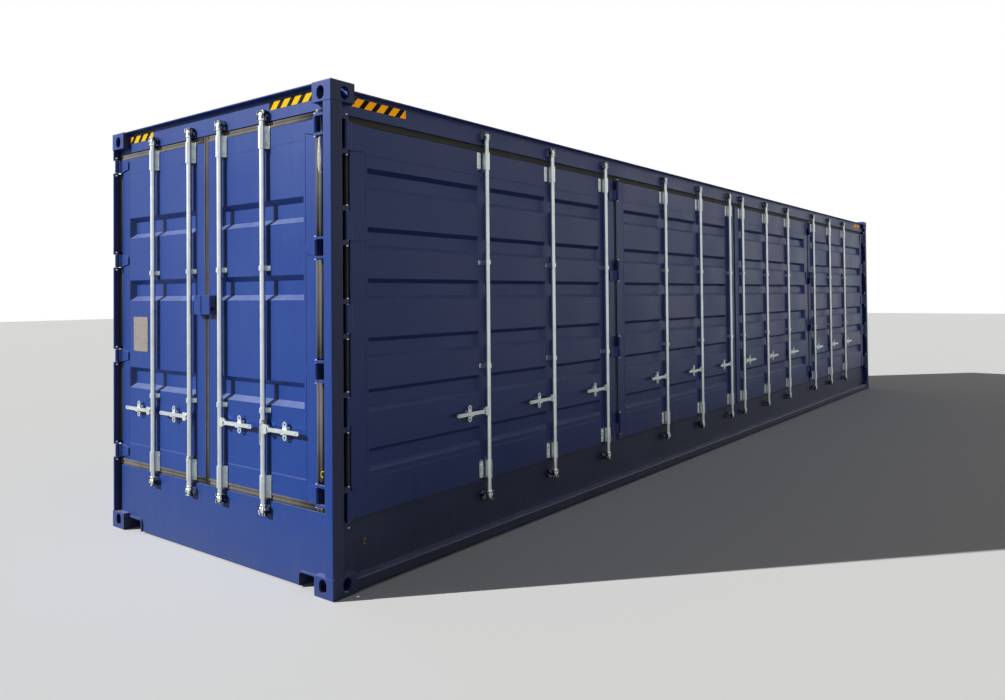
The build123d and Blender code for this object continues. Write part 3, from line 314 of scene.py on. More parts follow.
def fit_piece(name, data, finishes, body):
    # Mesh or curve data becomes a piece with its finishes and the body that it rides.
    for finish in finishes:
        data.materials.append(finish)
    piece = bpy.data.objects.new(name, data)
    bpy.context.scene.collection.objects.link(piece)
    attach(piece, body)
    return piece


def fit_shape(name, shape, finishes, body, smooth_all=True):
    bmesh.ops.recalc_face_normals(shape, faces=shape.faces)
    for face in shape.faces:
        face.smooth = smooth_all
    mesh = bpy.data.meshes.new(name)
    shape.to_mesh(mesh)
    shape.free()
    return fit_piece(name, mesh, finishes, body)


def skin_rings(shape, rings, closed=True):
    # Faces between each ring of vertices and the next; a closed ring joins its last vertex to its first.
    skin = []
    for lower, upper in zip(rings, rings[1:]):
        count = len(lower)
        for i in range(count if closed else count - 1):
            j = (i + 1) % count
            skin.append(shape.faces.new((lower[i], lower[j], upper[j], upper[i])))
    return skin


def hazard_strip(name, origin, along, outward, strip_length, first_bar, bar_film):
    # The strip runs from its origin along one direction; outward is the way that its face looks.
    strip = bmesh.new()
    rim = [(0.0, 0.0), (strip_length, 0.0), (strip_length, film_height), (0.0, film_height)]
    layers = [(rim, 0.0, film_thickness, 0)]
    start = first_bar
    while start < strip_length:
        corners = clipped_bar(start, 0.0, strip_length)
        if len(corners) > 2:
            layers.append((corners, film_thickness * 0.6, film_thickness * 1.6, 1))
        start += bar_pitch
    for corners, under, over, finish in layers:
        rings = []
        for rise in (under, over):
            rings.append([strip.verts.new(origin + along * run + outward * rise + Vector((0.0, 0.0, climb)))
                          for run, climb in corners])
        for face in [strip.faces.new(rings[1])] + skin_rings(strip, rings):
            face.material_index = finish
    fit_shape(name, strip, [film_black, bar_film], "container", smooth_all=False)


header_front = door_end + 0.044
rail_front = side_face + 0.044
towards_blind_end = Vector((1.0, 0.0, 0.0))
out_of_door_end = Vector((-1.0, 0.0, 0.0))
out_of_side = Vector((0.0, -1.0, 0.0))
hazard_strip("hazard_film_header_right", Vector((header_front, -0.610, film_bottom)), out_of_side,
             out_of_door_end, 0.395, 0.009, film_yellow)
hazard_strip("hazard_film_header_left", Vector((header_front, 1.040, film_bottom)), out_of_side,
             out_of_door_end, 0.322, -0.043, film_yellow)
hazard_strip("hazard_film_rail_near", Vector((door_end + 0.190, rail_front, film_bottom - 0.032)),
             towards_blind_end, out_of_side, 0.453, 0.004, film_amber)
hazard_strip("hazard_film_rail_far", Vector((5.404, rail_front, film_bottom - 0.032)), towards_blind_end,
             out_of_side, 0.380, 0.004, film_amber)


# Lock gear of forged and drawn steel, hot-dip galvanised: rods, guides, handles and hinge pins. The zinc
# is a light matt grey with a faint spangle of crystals about a centimetre across.
def hot_dip_zinc(name, colour, roughness):
    zinc, tree, place = new_finish(name)
    crystals = add(tree, "ShaderNodeTexVoronoi", {"Vector": place, "Scale": 95.0})
    spangle = add(tree, "ShaderNodeMapRange", {"Value": crystals.outputs["Color"], "To Min": -0.05,
                                               "To Max": 0.05})
    film = add(tree, "ShaderNodeTexNoise", {"Vector": place, "Scale": 7.0, "Detail": 6.0, "Roughness": 0.7})
    dulled = in_patches(tree, linear(colour), linear("#a3abab"), film, 0.4, 0.8, 0.55)
    level_of_gloss = add(tree, "ShaderNodeMath", {0: spangle.outputs[0], 1: roughness}, operation="ADD")
    grain = add(tree, "ShaderNodeTexNoise", {"Vector": place, "Scale": 160.0, "Detail": 3.0})
    rough_skin = add(tree, "ShaderNodeBump", {"Strength": 0.2, "Distance": 0.0008,
                                              "Height": grain.outputs["Fac"]})
    metal = add(tree, "ShaderNodeBsdfPrincipled", {"Base Color": dulled, "Metallic": 0.85,
                                                   "Roughness": level_of_gloss.outputs[0],
                                                   "Normal": rough_skin.outputs["Normal"]})
    add(tree, "ShaderNodeOutputMaterial", {"Surface": metal.outputs[0]})
    return zinc


bright_zinc = hot_dip_zinc("hot_dip_zinc", "#dce3e3", 0.36)
lock_gear = ["side_lock_rods", "side_rod_handles", "side_rod_guides", "hinge_pins"]
for side in ("left", "right"):
    lock_gear.append(side + "_door_guides")
    for place_on_leaf in ("outer", "inner"):
        lock_gear.append(side + "_rod_" + place_on_leaf)
        lock_gear.append(side + "_handle_" + place_on_leaf)
coat_nodes(bright_zinc, lock_gear)


# Door seals of extruded EPDM rubber, black when new and now bleached to a dull grey brown by sun and dust.
# Those of the side doors are a darker copy of the same rubber, painted shade for the shade they lie in.
def weathered_epdm(name, colour, bloom_colour):
    rubber, tree, place = new_finish(name)
    bloom = add(tree, "ShaderNodeTexNoise", {"Vector": place, "Scale": 12.0, "Detail": 6.0})
    bleached = add(tree, "ShaderNodeMix", {"Factor": bloom.outputs["Fac"], "A": linear(colour),
                                           "B": linear(bloom_colour)}, data_type="RGBA")
    body = add(tree, "ShaderNodeBsdfPrincipled", {"Base Color": bleached.outputs["Result"], "Roughness": 0.8,
                                                  "IOR": 1.5})
    add(tree, "ShaderNodeOutputMaterial", {"Surface": body.outputs[0]})
    return rubber


seal_rubber = weathered_epdm("weathered_epdm", "#3d3a36", "#77726a")
shaded_rubber = weathered_epdm("side_epdm_painted_shade", "#38362f", "#67635a")
coat_nodes(seal_rubber, ["left_door_seal", "right_door_seal"])
coat_nodes(shaded_rubber, ["side_door_seals"])


# Lips of the door seals: extruded EPDM rubber with two rounded lips that close each gap of the end doors,
# clipped along the edge of every leaf and broken where a hinge passes.
lip_back = 0.0615
lip_stretch = 0.25
lip_profile = [(0.0, 0.0481), (0.04, 0.0464), (0.14, 0.0456), (0.28, 0.0466), (0.42, 0.0516), (0.50, 0.0530),
               (0.58, 0.0512), (0.76, 0.0499), (0.93, 0.0515), (1.0, 0.0580)]


def seal_lips(name, body, runs, face_at, rubber):
    # Each run is (leaf side, frame side) across the gap, (start, end) along it and whether it is upright.
    lips = bmesh.new()
    for (near, far), (begin, finish), upright in runs:
        section = [(near + share * (far - near), depth) for share, depth in lip_profile]
        section += [(far, lip_back), (near, lip_back)]
        rings = []
        stretches = max(2, int(abs(finish - begin) / lip_stretch))
        for step in range(stretches + 1):
            place_along = begin + (finish - begin) * step / stretches
            ring = []
            for gap_place, depth in section:
                if upright:
                    ring.append(lips.verts.new(face_at(gap_place, depth, place_along)))
                else:
                    ring.append(lips.verts.new(face_at(place_along, depth, gap_place)))
            rings.append(ring)
        skin_rings(lips, rings)
        lips.faces.new(rings[0])
        lips.faces.new(list(reversed(rings[-1])))
    piece = fit_shape(name, lips, [rubber], body)
    # The cut ends of each run stay flat.
    for face in piece.data.polygons:
        face.use_smooth = len(face.vertices) == 4


def on_door_end(across, depth, height):
    return Vector((door_end + depth, across, height))


def on_side(along, depth, height):
    return Vector((along, side_face + depth, height))


upright_parts = [(0.4590, 0.4930), (0.6270, 1.1910), (1.3250, 1.8895), (2.0240, 2.5880), (2.7220, 2.7410)]
right_runs = [((-1.0310, -1.0800), part, True) for part in upright_parts]
right_runs += [((0.0400, 0.0620), (0.4590, 2.7410), True),
               ((0.5020, 0.4570), (-1.0350, 0.0430), False), ((2.7010, 2.7430), (-1.0350, 0.0430), False)]
seal_lips("right_seal_lips", "right_door", right_runs, on_door_end, seal_rubber)
left_runs = [((1.1570, 1.2000), part, True) for part in upright_parts]
left_runs += [((0.0860, 0.0640), (0.4590, 2.7410), True),
              ((0.5020, 0.4570), (0.0830, 1.1610), False), ((2.7010, 2.7430), (0.0830, 1.1610), False)]
seal_lips("left_seal_lips", "left_door", left_runs, on_door_end, seal_rubber)


# Rivets that hold the guides and sleeves to the leaves: domed heads of galvanised steel, 16 mm across, two
# on each side of an end door's sleeve and one on each side of a guide.
rivet_radius = 0.008
rivet_height = 0.006
head_sides = 10
seat_sink = 0.0006


def round_ring(shape, centre, one_way, other_way, radius, sides):
    # Vertices in a circle round the centre, in the plane of the two directions.
    ring = []
    for step in range(sides):
        turn = step * math.tau / sides
        ring.append(shape.verts.new(centre + one_way * (radius * math.cos(turn))
                                    + other_way * (radius * math.sin(turn))))
    return ring


def domed_heads(name, body, seats, outward, radius, rise, finish):
    # Each head is a low dome with a flat rim, and looks the way that its seat does.
    up_way = Vector((0.0, 0.0, 1.0))
    side_way = outward.cross(up_way)
    profile = [(1.0, 0.0), (1.0, 0.25), (0.86, 0.62), (0.52, 0.92)]
    heads = bmesh.new()
    for seat in seats:
        rings = [round_ring(heads, seat + outward * (rise * lift - seat_sink), side_way, up_way,
                            radius * across, head_sides) for across, lift in profile]
        crown = heads.verts.new(seat + outward * (rise - seat_sink))
        skin_rings(heads, rings)
        for i in range(head_sides):
            heads.faces.new((rings[-1][i], rings[-1][(i + 1) % head_sides], crown))
        heads.faces.new(list(reversed(rings[0])))
    fit_shape(name, heads, [finish], body)


end_foot_face = door_end + 0.044
end_foot_middle = 0.0345
end_rods = {"left_rod_outer": 0.687, "left_rod_inner": 0.228, "right_rod_inner": -0.120,
            "right_rod_outer": -0.567}
for side in ("left", "right"):
    seats = []
    for rod_y in [rod_y for rod, rod_y in end_rods.items() if rod.startswith(side)]:
        for height in (0.500, 0.578, 0.998, 1.855, 2.609, 2.687):
            for sideways in (-end_foot_middle, end_foot_middle):
                seats.append(Vector((end_foot_face, rod_y + sideways, height)))
    domed_heads(side + "_guide_rivets", side + "_door", seats, out_of_door_end, rivet_radius, rivet_height,
                bright_zinc)
side_rod_lines = [-4.670, -3.843, -3.017, -1.854, -1.017, -0.199, 0.199, 1.017, 1.854, 3.017, 3.843, 4.670]
side_foot_face = side_face + 0.078
side_foot_middle = 0.029
seats = []
for rod_x in side_rod_lines:
    for height in (1.191, 1.908):
        for sideways in (-side_foot_middle, side_foot_middle):
            seats.append(Vector((rod_x + sideways, side_foot_face, height)))
domed_heads("side_guide_rivets", "container", seats, out_of_side, rivet_radius, rivet_height, bright_zinc)


# Flat galvanised plates: bolted flanges beside the sleeves of the side doors, flush with the leaf and with
# two bolts each, and thin plates over the hubs in which the handles turn.
flange_width = 0.040
flange_back = 0.0484
flange_front = 0.0440
sleeve_half_width = 0.036
bolt_inset = 0.026
bolt_radius = 0.0085
bolt_height = 0.007
corner_cut = 0.006


def flat_plates(name, body, plates, face_at, back, front, finish):
    # Each plate is (start, end) across and (bottom, top), with its corners cut off and its rim rounded.
    flanges = bmesh.new()
    cut = corner_cut
    for (left_edge, right_edge), (bottom, top) in plates:
        corners = [(left_edge + cut, bottom), (right_edge - cut, bottom), (right_edge, bottom + cut),
                   (right_edge, top - cut), (right_edge - cut, top), (left_edge + cut, top),
                   (left_edge, top - cut), (left_edge, bottom + cut)]
        middle = ((left_edge + right_edge) / 2, (bottom + top) / 2)
        rings = []
        for depth, pull in ((back, 0.0), (front + 0.2 * (back - front), 0.0), (front, 0.0010)):
            ring = []
            for across, height in corners:
                ring.append(flanges.verts.new(face_at(across + math.copysign(pull, middle[0] - across), depth,
                                                      height + math.copysign(pull, middle[1] - height))))
            rings.append(ring)
        skin_rings(flanges, rings)
        flanges.faces.new(rings[-1])
        flanges.faces.new(list(reversed(rings[0])))
    fit_shape(name, flanges, [finish], body, smooth_all=False)


plates = []
seats = []
for rod_x in side_rod_lines:
    for bottom, top in ((0.424, 0.538), (2.554, 2.668)):
        plates.append(((rod_x - sleeve_half_width - flange_width, rod_x - sleeve_half_width - 0.001),
                       (bottom, top)))
        for height in (bottom + bolt_inset, top - bolt_inset):
            seats.append(on_side(rod_x - sleeve_half_width - flange_width / 2, flange_front, height))
flat_plates("side_sleeve_flanges", "container", plates, on_side, flange_back, flange_front, bright_zinc)
domed_heads("side_sleeve_bolts", "container", seats, out_of_side, bolt_radius, bolt_height, bright_zinc)
end_hub_heights = (0.862, 0.918)
side_hub_heights = (0.856, 0.912)
hub_near = 0.019
hub_far = 0.056
hub_back = 0.0018
hub_front = 0.0006
for rod, rod_y in end_rods.items():
    handle_way = 1 if rod.startswith("left") else -1
    hub_edges = sorted((rod_y + handle_way * hub_near, rod_y + handle_way * hub_far))
    flat_plates(rod + "_hub_plate", rod, [(hub_edges, end_hub_heights)], on_door_end, hub_back, hub_front,
                bright_zinc)
plates = []
for rod_x in side_rod_lines:
    handle_way = math.copysign(1.0, rod_x)
    plates.append((sorted((rod_x + handle_way * hub_near, rod_x + handle_way * hub_far)), side_hub_heights))
flat_plates("side_hub_plates", "container", plates, on_side, hub_back, hub_front, bright_zinc)


# Weld beads where the pressed panels meet the tubes of their leaves, and where the tubes meet: filler run
# about 4 mm wide, a millimetre proud and painted over, so that only a thin raised line shows.
bead_radius = 0.0022
bead_step = 0.06
bead_flatness = 0.55
bead_sink = 0.0002


def weld_beads(name, body, lines, finish):
    # A bead is a low ridge of four facets that wavers as a hand-laid weld does.
    shake = random.Random(name)
    beads = bmesh.new()
    for start, end, outward in lines:
        run = end - start
        sideways = run.cross(outward).normalized()
        steps = max(4, int(run.length / bead_step))
        rings = []
        for step in range(steps + 1):
            middle = start + run * step / steps
            waver = bead_radius * (1.0 + shake.uniform(-0.12, 0.12))
            ring = []
            for angle in (0.0, 45.0, 90.0, 135.0, 180.0):
                slope = math.radians(angle)
                ring.append(beads.verts.new(middle + sideways * (waver * math.cos(slope)) + outward
                                            * (waver * bead_flatness * math.sin(slope) - bead_sink)))
            rings.append(ring)
        skin_rings(beads, rings, closed=False)
    fit_shape(name, beads, [finish], body)


leaf_front = 0.048


def panel_welds(on_face, edges, ends, heights, outward):
    # Round one leaf: a line up each edge of its panel, then one across at each of the two heights.
    welds = [(on_face(across, leaf_front, ends[0]), on_face(across, leaf_front, ends[1]), outward)
             for across in edges]
    welds += [(on_face(edges[0], leaf_front, height), on_face(edges[1], leaf_front, height), outward)
              for height in heights]
    return welds


for side, edges in {"left": (0.17865, 1.06485), "right": (-0.93885, -0.05265)}.items():
    welds = panel_welds(on_door_end, edges, (0.489, 2.714), (0.6252, 2.5878), out_of_door_end)
    weld_beads(side + "_leaf_beads", side + "_door", welds, door_blue)
lines = []
for edges in ((-5.79085, -2.95515), (-2.66085, -0.14715), (0.14715, 2.66085), (2.95515, 5.79085)):
    lines += panel_welds(on_side, edges, (0.404, 2.676), (0.6202, 2.5078), out_of_side)
weld_beads("side_leaf_beads", "container", lines, side_blue_painted_light)


# Welds between the closed side's wall and its top rail: one bead of filler on each outer crest of the
# corrugation. The rail's lower corner is rounded, and the bead closes the wedge that this leaves open.
wall_weld_height = 2.7966
wall_weld_face = 1.2090
crest_gap = 0.12
weld_overrun = 0.010
same_level = 0.0005
out_of_closed_side = Vector((0.0, 1.0, 0.0))
wall = steel["closed_side_wall"]
wall_corners = [wall.matrix_world @ corner.co for corner in wall.data.vertices]
wall_top = max(corner.z for corner in wall_corners)
crest_ends = sorted(corner.x for corner in wall_corners
                    if wall_top - corner.z < same_level and corner.y > wall_weld_face - same_level)
crests = []
for place_along in crest_ends:
    if crests and place_along - crests[-1][1] < crest_gap:
        crests[-1][1] = place_along
    else:
        crests.append([place_along, place_along])
lines = []
for low, high in crests:
    if high > low:
        lines.append((Vector((low - weld_overrun, wall_weld_face, wall_weld_height)),
                      Vector((high + weld_overrun, wall_weld_face, wall_weld_height)), out_of_closed_side))
weld_beads("closed_side_wall_beads", "container", lines, frame_blue)


# The lock box over the meeting edge: two halves folded from 4 mm plate and welded to the leaves, the right
# one with a hole in its cheek for a bolt. Both are open at the back and below.
box_top = 1.6940
box_bottom = 1.5700
box_front = 0.0035
box_back = 0.0478
box_plate = 0.004
hole_radius = 0.013
hole_height = 0.036


def lock_box_half(name, body, node_name, inner_edge, outer_edge, has_hole):
    # Sheets of the half box: front, top and outer cheek, thickened inwards and rounded at the folds.
    half = bmesh.new()

    def corner(across, depth, height):
        return half.verts.new(on_door_end(across, depth, height))

    front_low_in = corner(inner_edge, box_front, box_bottom)
    front_low_out = corner(outer_edge, box_front, box_bottom)
    front_high_out = corner(outer_edge, box_front, box_top)
    front_high_in = corner(inner_edge, box_front, box_top)
    back_high_out = corner(outer_edge, box_back, box_top)
    back_high_in = corner(inner_edge, box_back, box_top)
    back_low_out = corner(outer_edge, box_back, box_bottom)
    half.faces.new((front_low_in, front_low_out, front_high_out, front_high_in))
    half.faces.new((front_high_in, front_high_out, back_high_out, back_high_in))
    if has_hole:
        centre = ((box_front + box_back) / 2, box_bottom + hole_height)
        rim = []
        for step in range(12):
            angle = (step + 0.5) * math.tau / 12
            rim.append(corner(outer_edge, centre[0] + hole_radius * math.cos(angle),
                              centre[1] + hole_radius * math.sin(angle)))
        # The cheek is filled round the hole with fans from its four corners.
        fans = ((back_high_out, 0, 3), (front_high_out, 3, 6), (front_low_out, 6, 9), (back_low_out, 9, 12))
        for outer, first, last in fans:
            for i in range(first, last - 1):
                half.faces.new((outer, rim[i], rim[i + 1]))
        for (here, there), join in (((back_high_out, front_high_out), 2), ((front_high_out, front_low_out), 5),
                                    ((front_low_out, back_low_out), 8), ((back_low_out, back_high_out), 11)):
            half.faces.new((here, rim[join], rim[(join + 1) % 12], there))
    else:
        half.faces.new((front_low_out, back_low_out, back_high_out, front_high_out))
    bmesh.ops.recalc_face_normals(half, faces=half.faces)
    outside = half.faces[:]
    if sum(face.normal.dot(out_of_door_end) for face in outside) < 0.0:
        bmesh.ops.reverse_faces(half, faces=outside)
    mesh = bpy.data.meshes.new(name)
    half.to_mesh(mesh)
    half.free()
    piece = fit_piece(name, mesh, [door_blue], body)
    sheet = piece.modifiers.new("sheet", "SOLIDIFY")
    sheet.thickness = box_plate
    sheet.offset = -1.0
    folds = piece.modifiers.new("folds", "BEVEL")
    folds.width = 0.0035
    folds.segments = 3
    folds.limit_method = "ANGLE"
    folds.angle_limit = math.radians(50.0)
    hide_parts(node_name)


lock_box_half("lock_box_left_half", "left_door", "left_lock_box", 0.0670, 0.1470, False)
lock_box_half("lock_box_right_half", "right_door", "right_lock_box", 0.0590, -0.0320, True)


# Keepers and rod ends: the keepers are folded plate whose blue paint the cams have scraped down to the
# zinc, the paint drawn near black as painted shade and the zinc also standing in for painted highlights;
# on each rod a forged ring is shrunk on beside the cam, with four short horns that stand round it.
keeper_paint_and_painted_shade, tree, place = new_finish("scraped_keeper_paint_and_painted_shade")
scrapes_and_painted_highlights = add(tree, "ShaderNodeTexNoise", {"Vector": place, "Scale": 48.0, "Detail": 4.0, "Roughness": 0.6})
scraped_tone_and_painted_shade = in_patches(tree, linear("#131a30"), linear("#dfe4e6"), scrapes_and_painted_highlights, 0.50, 0.56, 1.0)
keeper_face = add(tree, "ShaderNodeBsdfPrincipled", {"Base Color": scraped_tone_and_painted_shade, "Roughness": 0.4,
                                                      "Metallic": 0.3})
add(tree, "ShaderNodeOutputMaterial", {"Surface": keeper_face.outputs[0]})
coat_nodes(keeper_paint_and_painted_shade, ["lock_keepers"])

horn_circle = 0.0176
horn_profile = [(0.0042, -0.002), (0.0042, 0.026), (0.0030, 0.029)]
horn_sides = 8
collar_profile = [(0.0168, 0.0), (0.0205, 0.002), (0.0205, 0.014), (0.0185, 0.018), (0.0168, 0.018)]
collar_sides = 16


def rod_collars(name, body, axes, finish):
    # Each axis is a point on the rod with the heights of its two rings' inner faces.
    lengthways = Vector((1.0, 0.0, 0.0))
    crossways = Vector((0.0, 1.0, 0.0))
    upwards = Vector((0.0, 0.0, 1.0))
    collars = bmesh.new()
    for centre_x, centre_y, low, high in axes:
        for height, grows in ((low, -1.0), (high, 1.0)):
            inner_face = Vector((centre_x, centre_y, height))
            for quarter in (45.0, 135.0, 225.0, 315.0):
                angle = math.radians(quarter)
                horn = (inner_face + lengthways * (horn_circle * math.cos(angle))
                        + crossways * (horn_circle * math.sin(angle)))
                rings = [round_ring(collars, horn + upwards * (grows * rise), lengthways, crossways, radius,
                                    horn_sides) for radius, rise in horn_profile]
                skin_rings(collars, rings)
                collars.faces.new(rings[0])
                collars.faces.new(rings[-1])
            skin_rings(collars, [round_ring(collars, inner_face - upwards * (grows * rise), lengthways, crossways,
                                            radius, collar_sides) for radius, rise in collar_profile])
    fit_shape(name, collars, [finish], body)


rod_depth = 0.022
end_rod_x = door_end + rod_depth
for rod, rod_y in end_rods.items():
    rod_collars(rod + "_collars", rod, [(end_rod_x, rod_y, 0.4170, 2.7650)], bright_zinc)
rod_collars("side_rod_collars", "container",
            [(rod_x, side_face + rod_depth, 0.3170, 2.7650) for rod_x in side_rod_lines], bright_zinc)


# Two yellow hooks of plastic-coated wire for seal wires, one on the post's lip and one on the skirt.
# Each is a single length of wire, bent into an open loop with rounded ends.
hook_wire = 0.0026
coated_yellow, tree, place = new_finish("yellow_pvc_coating")
coating_wear = add(tree, "ShaderNodeTexNoise", {"Vector": place, "Scale": 220.0, "Detail": 3.0})
coating_tone = add(tree, "ShaderNodeMix", {"Factor": coating_wear.outputs["Fac"], "A": linear("#ffe600"),
                                           "B": linear("#f0cc00")}, data_type="RGBA")
coating_face = add(tree, "ShaderNodeBsdfPrincipled", {"Base Color": coating_tone.outputs["Result"],
                                                      "Roughness": 0.4})
add(tree, "ShaderNodeOutputMaterial", {"Surface": coating_face.outputs[0]})


def round_strand(name, radius, facets, segments):
    # A curve whose lines are round strands of one thickness, still without any line.
    strand = bpy.data.curves.new(name, "CURVE")
    strand.dimensions = "3D"
    strand.bevel_depth = radius
    strand.bevel_resolution = facets
    strand.resolution_u = segments
    return strand


def lay_line(strand, points, closed=False):
    line = strand.splines.new("NURBS")
    line.points.add(len(points) - 1)
    for point, control in zip(points, line.points):
        control.co = (point[0], point[1], point[2], 1.0)
    line.order_u = 3
    line.use_cyclic_u = closed
    line.use_endpoint_u = not closed


def wire_hook(name, root, outward, sweep):
    loop = round_strand(name, hook_wire, 2, 6)
    loop.use_fill_caps = True
    bends = [(0.008, 0.000, 0.014), (0.000, 0.004, 0.018), (-0.009, 0.005, 0.010), (-0.011, 0.005, -0.004),
             (-0.005, 0.005, -0.015), (0.006, 0.004, -0.016)]
    lay_line(loop, [root + sweep * across + outward * off + Vector((0.0, 0.0, climb))
                    for across, off, climb in bends])
    fit_piece(name, loop, [coated_yellow], "container")


wire_hook("yellow_hook_on_skirt", Vector((-5.794, side_face + 0.0745, 0.250)), out_of_side, towards_blind_end)
wire_hook("yellow_hook_on_post", Vector((door_end + 0.0085, -1.1290, 0.689)), out_of_door_end,
          out_of_side)


# The floor is hardwood plywood in sheets, sealed with a brown varnish that shows the grain along its length.
# Below it the cross members are black with a soft wax coat, thrown full of road dirt.
floor_ply, tree, place = new_finish("sealed_plywood")
grain_run = add(tree, "ShaderNodeMapping", {"Vector": place, "Scale": (1.4, 42.0, 42.0)})
ply_grain = add(tree, "ShaderNodeTexNoise", {"Vector": grain_run.outputs[0], "Scale": 1.0, "Detail": 8.0,
                                             "Roughness": 0.65, "Distortion": 0.6})
ply_tone = add(tree, "ShaderNodeMix", {"Factor": ply_grain.outputs["Fac"], "A": linear("#5e3a24"),
                                       "B": linear("#b07c52")}, data_type="RGBA")
# Forklift tyres and pallets scuff it grey in broad patches.
scuffs = add(tree, "ShaderNodeTexNoise", {"Vector": place, "Scale": 2.3, "Detail": 7.0, "Roughness": 0.7})
ply_scuffed = in_patches(tree, ply_tone.outputs["Result"], linear("#6b6259"), scuffs, 0.45, 0.75, 0.55)
ply_face = add(tree, "ShaderNodeBsdfPrincipled", {"Base Color": ply_scuffed, "Roughness": 0.55})
add(tree, "ShaderNodeOutputMaterial", {"Surface": ply_face.outputs[0]})
coat_nodes(floor_ply, ["floor_boards"])

black_wax, tree, place = new_finish("black_wax_coat")
road_dirt = add(tree, "ShaderNodeTexNoise", {"Vector": place, "Scale": 11.0, "Detail": 8.0, "Roughness": 0.72})
wax_tone = in_patches(tree, linear("#17171a"), linear("#55504a"), road_dirt, 0.42, 0.72, 0.6)
brushed = add(tree, "ShaderNodeBump", {"Strength": 0.4, "Distance": 0.001, "Height": road_dirt.outputs["Fac"]})
wax_face = add(tree, "ShaderNodeBsdfPrincipled", {"Base Color": wax_tone, "Roughness": 0.6,
                                                  "Normal": brushed.outputs["Normal"]})
add(tree, "ShaderNodeOutputMaterial", {"Surface": wax_face.outputs[0]})
coat_nodes(black_wax, ["cross_members"])


# The data plate is bare aluminium sheet, dulled and speckled by weather. Four rivets of the same metal, one
# at each corner, hold it to the left leaf.
plate_face_depth = 0.045
plate_rivet_radius = 0.005
plate_rivet_height = 0.0035
plate_alloy, tree, place = new_finish("weathered_aluminium_plate")
speckle = add(tree, "ShaderNodeTexNoise", {"Vector": place, "Scale": 95.0, "Detail": 6.0, "Roughness": 0.8})
plate_tone = in_patches(tree, linear("#6d6158"), linear("#b1aaa6"), speckle, 0.38, 0.62, 1.0)
plate_face = add(tree, "ShaderNodeBsdfPrincipled", {"Base Color": plate_tone, "Roughness": 0.5, "Metallic": 0.3})
add(tree, "ShaderNodeOutputMaterial", {"Surface": plate_face.outputs[0]})
coat_nodes(plate_alloy, ["data_plate"])
plate_seats = [on_door_end(across, plate_face_depth, height)
               for across in (0.812, 0.984) for height in (1.308, 1.535)]
domed_heads("data_plate_rivets", "left_door", plate_seats, out_of_door_end, plate_rivet_radius,
            plate_rivet_height, plate_alloy)


# Three ends of cord that were left tied to the gear: twisted white polypropylene, 4.4 mm thick and limp.
# One is wound round the rod at a sleeve of the left leaf, one round the rod at a handle of the right leaf,
# and one hangs down behind the right leaf's top hinge from a round knot and ends in a frayed hank.
cord_thickness = 0.0044


def twisted_polypropylene(name, colour, shade):
    fibre, tree, place = new_finish(name)
    soil = add(tree, "ShaderNodeTexNoise", {"Vector": place, "Scale": 60.0, "Detail": 5.0, "Roughness": 0.7})
    grime = add(tree, "ShaderNodeMix", {"Factor": soil.outputs["Fac"], "A": linear(colour),
                                        "B": linear(shade)}, data_type="RGBA")
    nap = add(tree, "ShaderNodeTexNoise", {"Vector": place, "Scale": 900.0, "Detail": 2.0})
    rough = add(tree, "ShaderNodeBump", {"Strength": 0.5, "Distance": 0.0006, "Height": nap.outputs["Fac"]})
    yarn = add(tree, "ShaderNodeBsdfPrincipled", {"Base Color": grime.outputs["Result"], "Roughness": 0.72,
                                                  "IOR": 1.49, "Sheen Weight": 0.3,
                                                  "Normal": rough.outputs["Normal"]})
    add(tree, "ShaderNodeOutputMaterial", {"Surface": yarn.outputs[0]})
    return fibre


white_twine = twisted_polypropylene("twisted_white_polypropylene", "#fbf9f4", "#cfc9ba")


def twine(name, body, points):
    run = round_strand(name, cord_thickness / 2, 3, 10)
    run.use_fill_caps = True
    lay_line(run, points)
    return fit_piece(name, run, [white_twine], body)


def beside_rod(rod_y, points):
    return [(door_end + forward_of, rod_y - sideways, height) for sideways, forward_of, height in points]


def rod_turns(name, body, rod_y, low, turns):
    # Turns of the same cord laid round a rod one above the other, a little uneven.
    pitch = 0.0046
    slack = random.Random(name)
    points = []
    for step in range(turns * 10 + 1):
        angle = step * math.tau / 10
        radius = 0.0190 + slack.uniform(-0.0003, 0.0005)
        points.append((end_rod_x + radius * math.cos(angle), rod_y + radius * math.sin(angle),
                       low + pitch * step / 10 + slack.uniform(-0.0008, 0.0008)))
    return twine(name, body, points)


sleeve_tie = twine("tail_at_left_sleeve", "left_door", beside_rod(0.228, [
    (0.0310, 0.0380, 0.592), (0.0260, 0.0200, 0.613), (0.01126, 0.0025, 0.618), (-0.0130, 0.0025, 0.619),
    (-0.0270, 0.0110, 0.605), (-0.0255, 0.0170, 0.572), (-0.0275, 0.0150, 0.536), (-0.0260, 0.0190, 0.500),
    (-0.0250, 0.0180, 0.466), (-0.0195, 0.0100, 0.436), (-0.0170, 0.0065, 0.408), (-0.0140, 0.0040, 0.386)]))
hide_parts("left_sleeve_cord")
sleeve_turns = rod_turns("turns_at_left_sleeve", "left_door", 0.228, 0.612, 4)

handle_tie = twine("tail_at_right_handle", "right_rod_outer", beside_rod(-0.567, [
    (0.0180, 0.0340, 0.926), (0.0225, 0.0190, 0.925), (0.01126, 0.0025, 0.924), (-0.01126, 0.0025, 0.922),
    (-0.0205, 0.0135, 0.902), (-0.0160, 0.0065, 0.870), (-0.0135, 0.0045, 0.836), (-0.0185, 0.0085, 0.806),
    (-0.0200, 0.0120, 0.789)]))
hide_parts("right_handle_cord")
handle_turns = rod_turns("turns_at_right_handle", "right_rod_outer", -0.567, 0.922, 5)

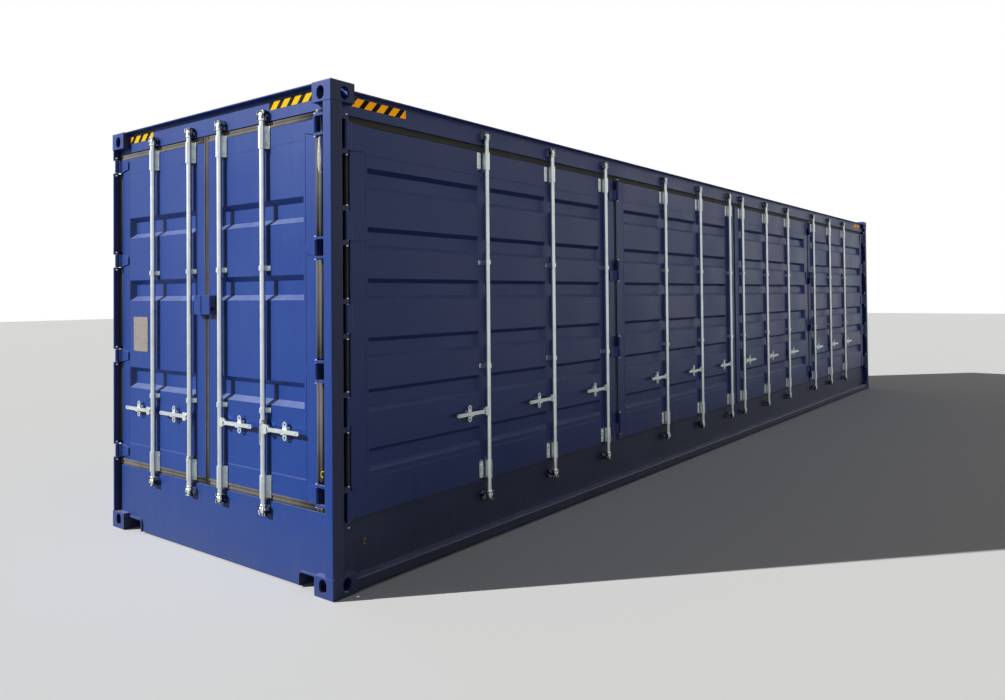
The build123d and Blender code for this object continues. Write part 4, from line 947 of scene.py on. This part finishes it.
# The knot is a ball of 26 mm as a monkey's fist is: three turns each way round, drawn as nine closed rings.
knot_centre = Vector((door_end + 0.020, -1.089, 2.7303))
knot_turn_radius = 0.0102
knot_looseness = 1.05
knot_lines = round_strand("knot_on_top_hinge", cord_thickness / 2, 3, 8)
for axis in range(3):
    for shift in (-0.0042, 0.0, 0.0042):
        turn_radius = math.sqrt(knot_turn_radius ** 2 - shift ** 2) + (0.0006 if axis == 1 else 0.0)
        turn = []
        for step in range(12):
            angle = step * math.tau / 12
            place_in_turn = [0.0, 0.0, 0.0]
            place_in_turn[axis] = shift
            place_in_turn[(axis + 1) % 3] = turn_radius * knot_looseness * math.cos(angle)
            place_in_turn[(axis + 2) % 3] = turn_radius * knot_looseness * math.sin(angle)
            turn.append(knot_centre + Vector(place_in_turn))
        lay_line(knot_lines, turn, closed=True)
knot = fit_piece("knot_on_top_hinge", knot_lines, [white_twine], "container")
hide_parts("right_hinge_knot")

# The hank is the same cord's end, unlaid into 84 yarns that hang side by side and fray out.
# Each station is how far behind the door end's face the hank is, half its depth, half its width, and how far
# down from its top.
hank_stations = [(0.031, 0.012, 0.009, 0.000), (0.027, 0.011, 0.015, 0.073), (0.026, 0.012, 0.019, 0.163),
                 (0.027, 0.007, 0.009, 0.214)]
hank_top = 2.5927
hank_middle = -1.095
yarn_radius = 0.0019
yarn_points = 7
fray = random.Random(41)
yarns = round_strand("frayed_hank", yarn_radius, 1, 5)
for yarn_number in range(84):
    around = fray.uniform(0.0, math.tau)
    outward = math.sqrt(fray.uniform(0.45, 1.0))
    last_down = fray.uniform(0.150, 0.213) if yarn_number % 3 else fray.uniform(0.085, 0.150)
    yarn = []
    for step in range(yarn_points):
        down = last_down * step / (yarn_points - 1)
        for above, below in zip(hank_stations, hank_stations[1:]):
            if above[3] <= down <= below[3]:
                share = (down - above[3]) / (below[3] - above[3])
                depth, half_depth, half_width = [above[i] + share * (below[i] - above[i]) for i in range(3)]
        around += fray.uniform(-0.35, 0.35)
        spread = outward * (0.55 if step == 0 else 0.9)
        yarn.append((door_end + depth + half_depth * spread * math.cos(around),
                     hank_middle + half_width * spread * math.sin(around), hank_top - 0.0012 - down * 0.99))
    lay_line(yarns, yarn)
hank = fit_piece("frayed_hank", yarns, [white_twine], "container")
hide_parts("right_hinge_hank")

hinge_strand = twine("strand_behind_top_hinge", "container", [
    (door_end + 0.0356, -1.0880, 2.7283), (door_end + 0.0385, -1.0860, 2.7010),
    (door_end + 0.0400, -1.0900, 2.6590), (door_end + 0.0385, -1.0940, 2.6210),
    (door_end + 0.0375, -1.0950, 2.5930)])
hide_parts("right_hinge_cord")
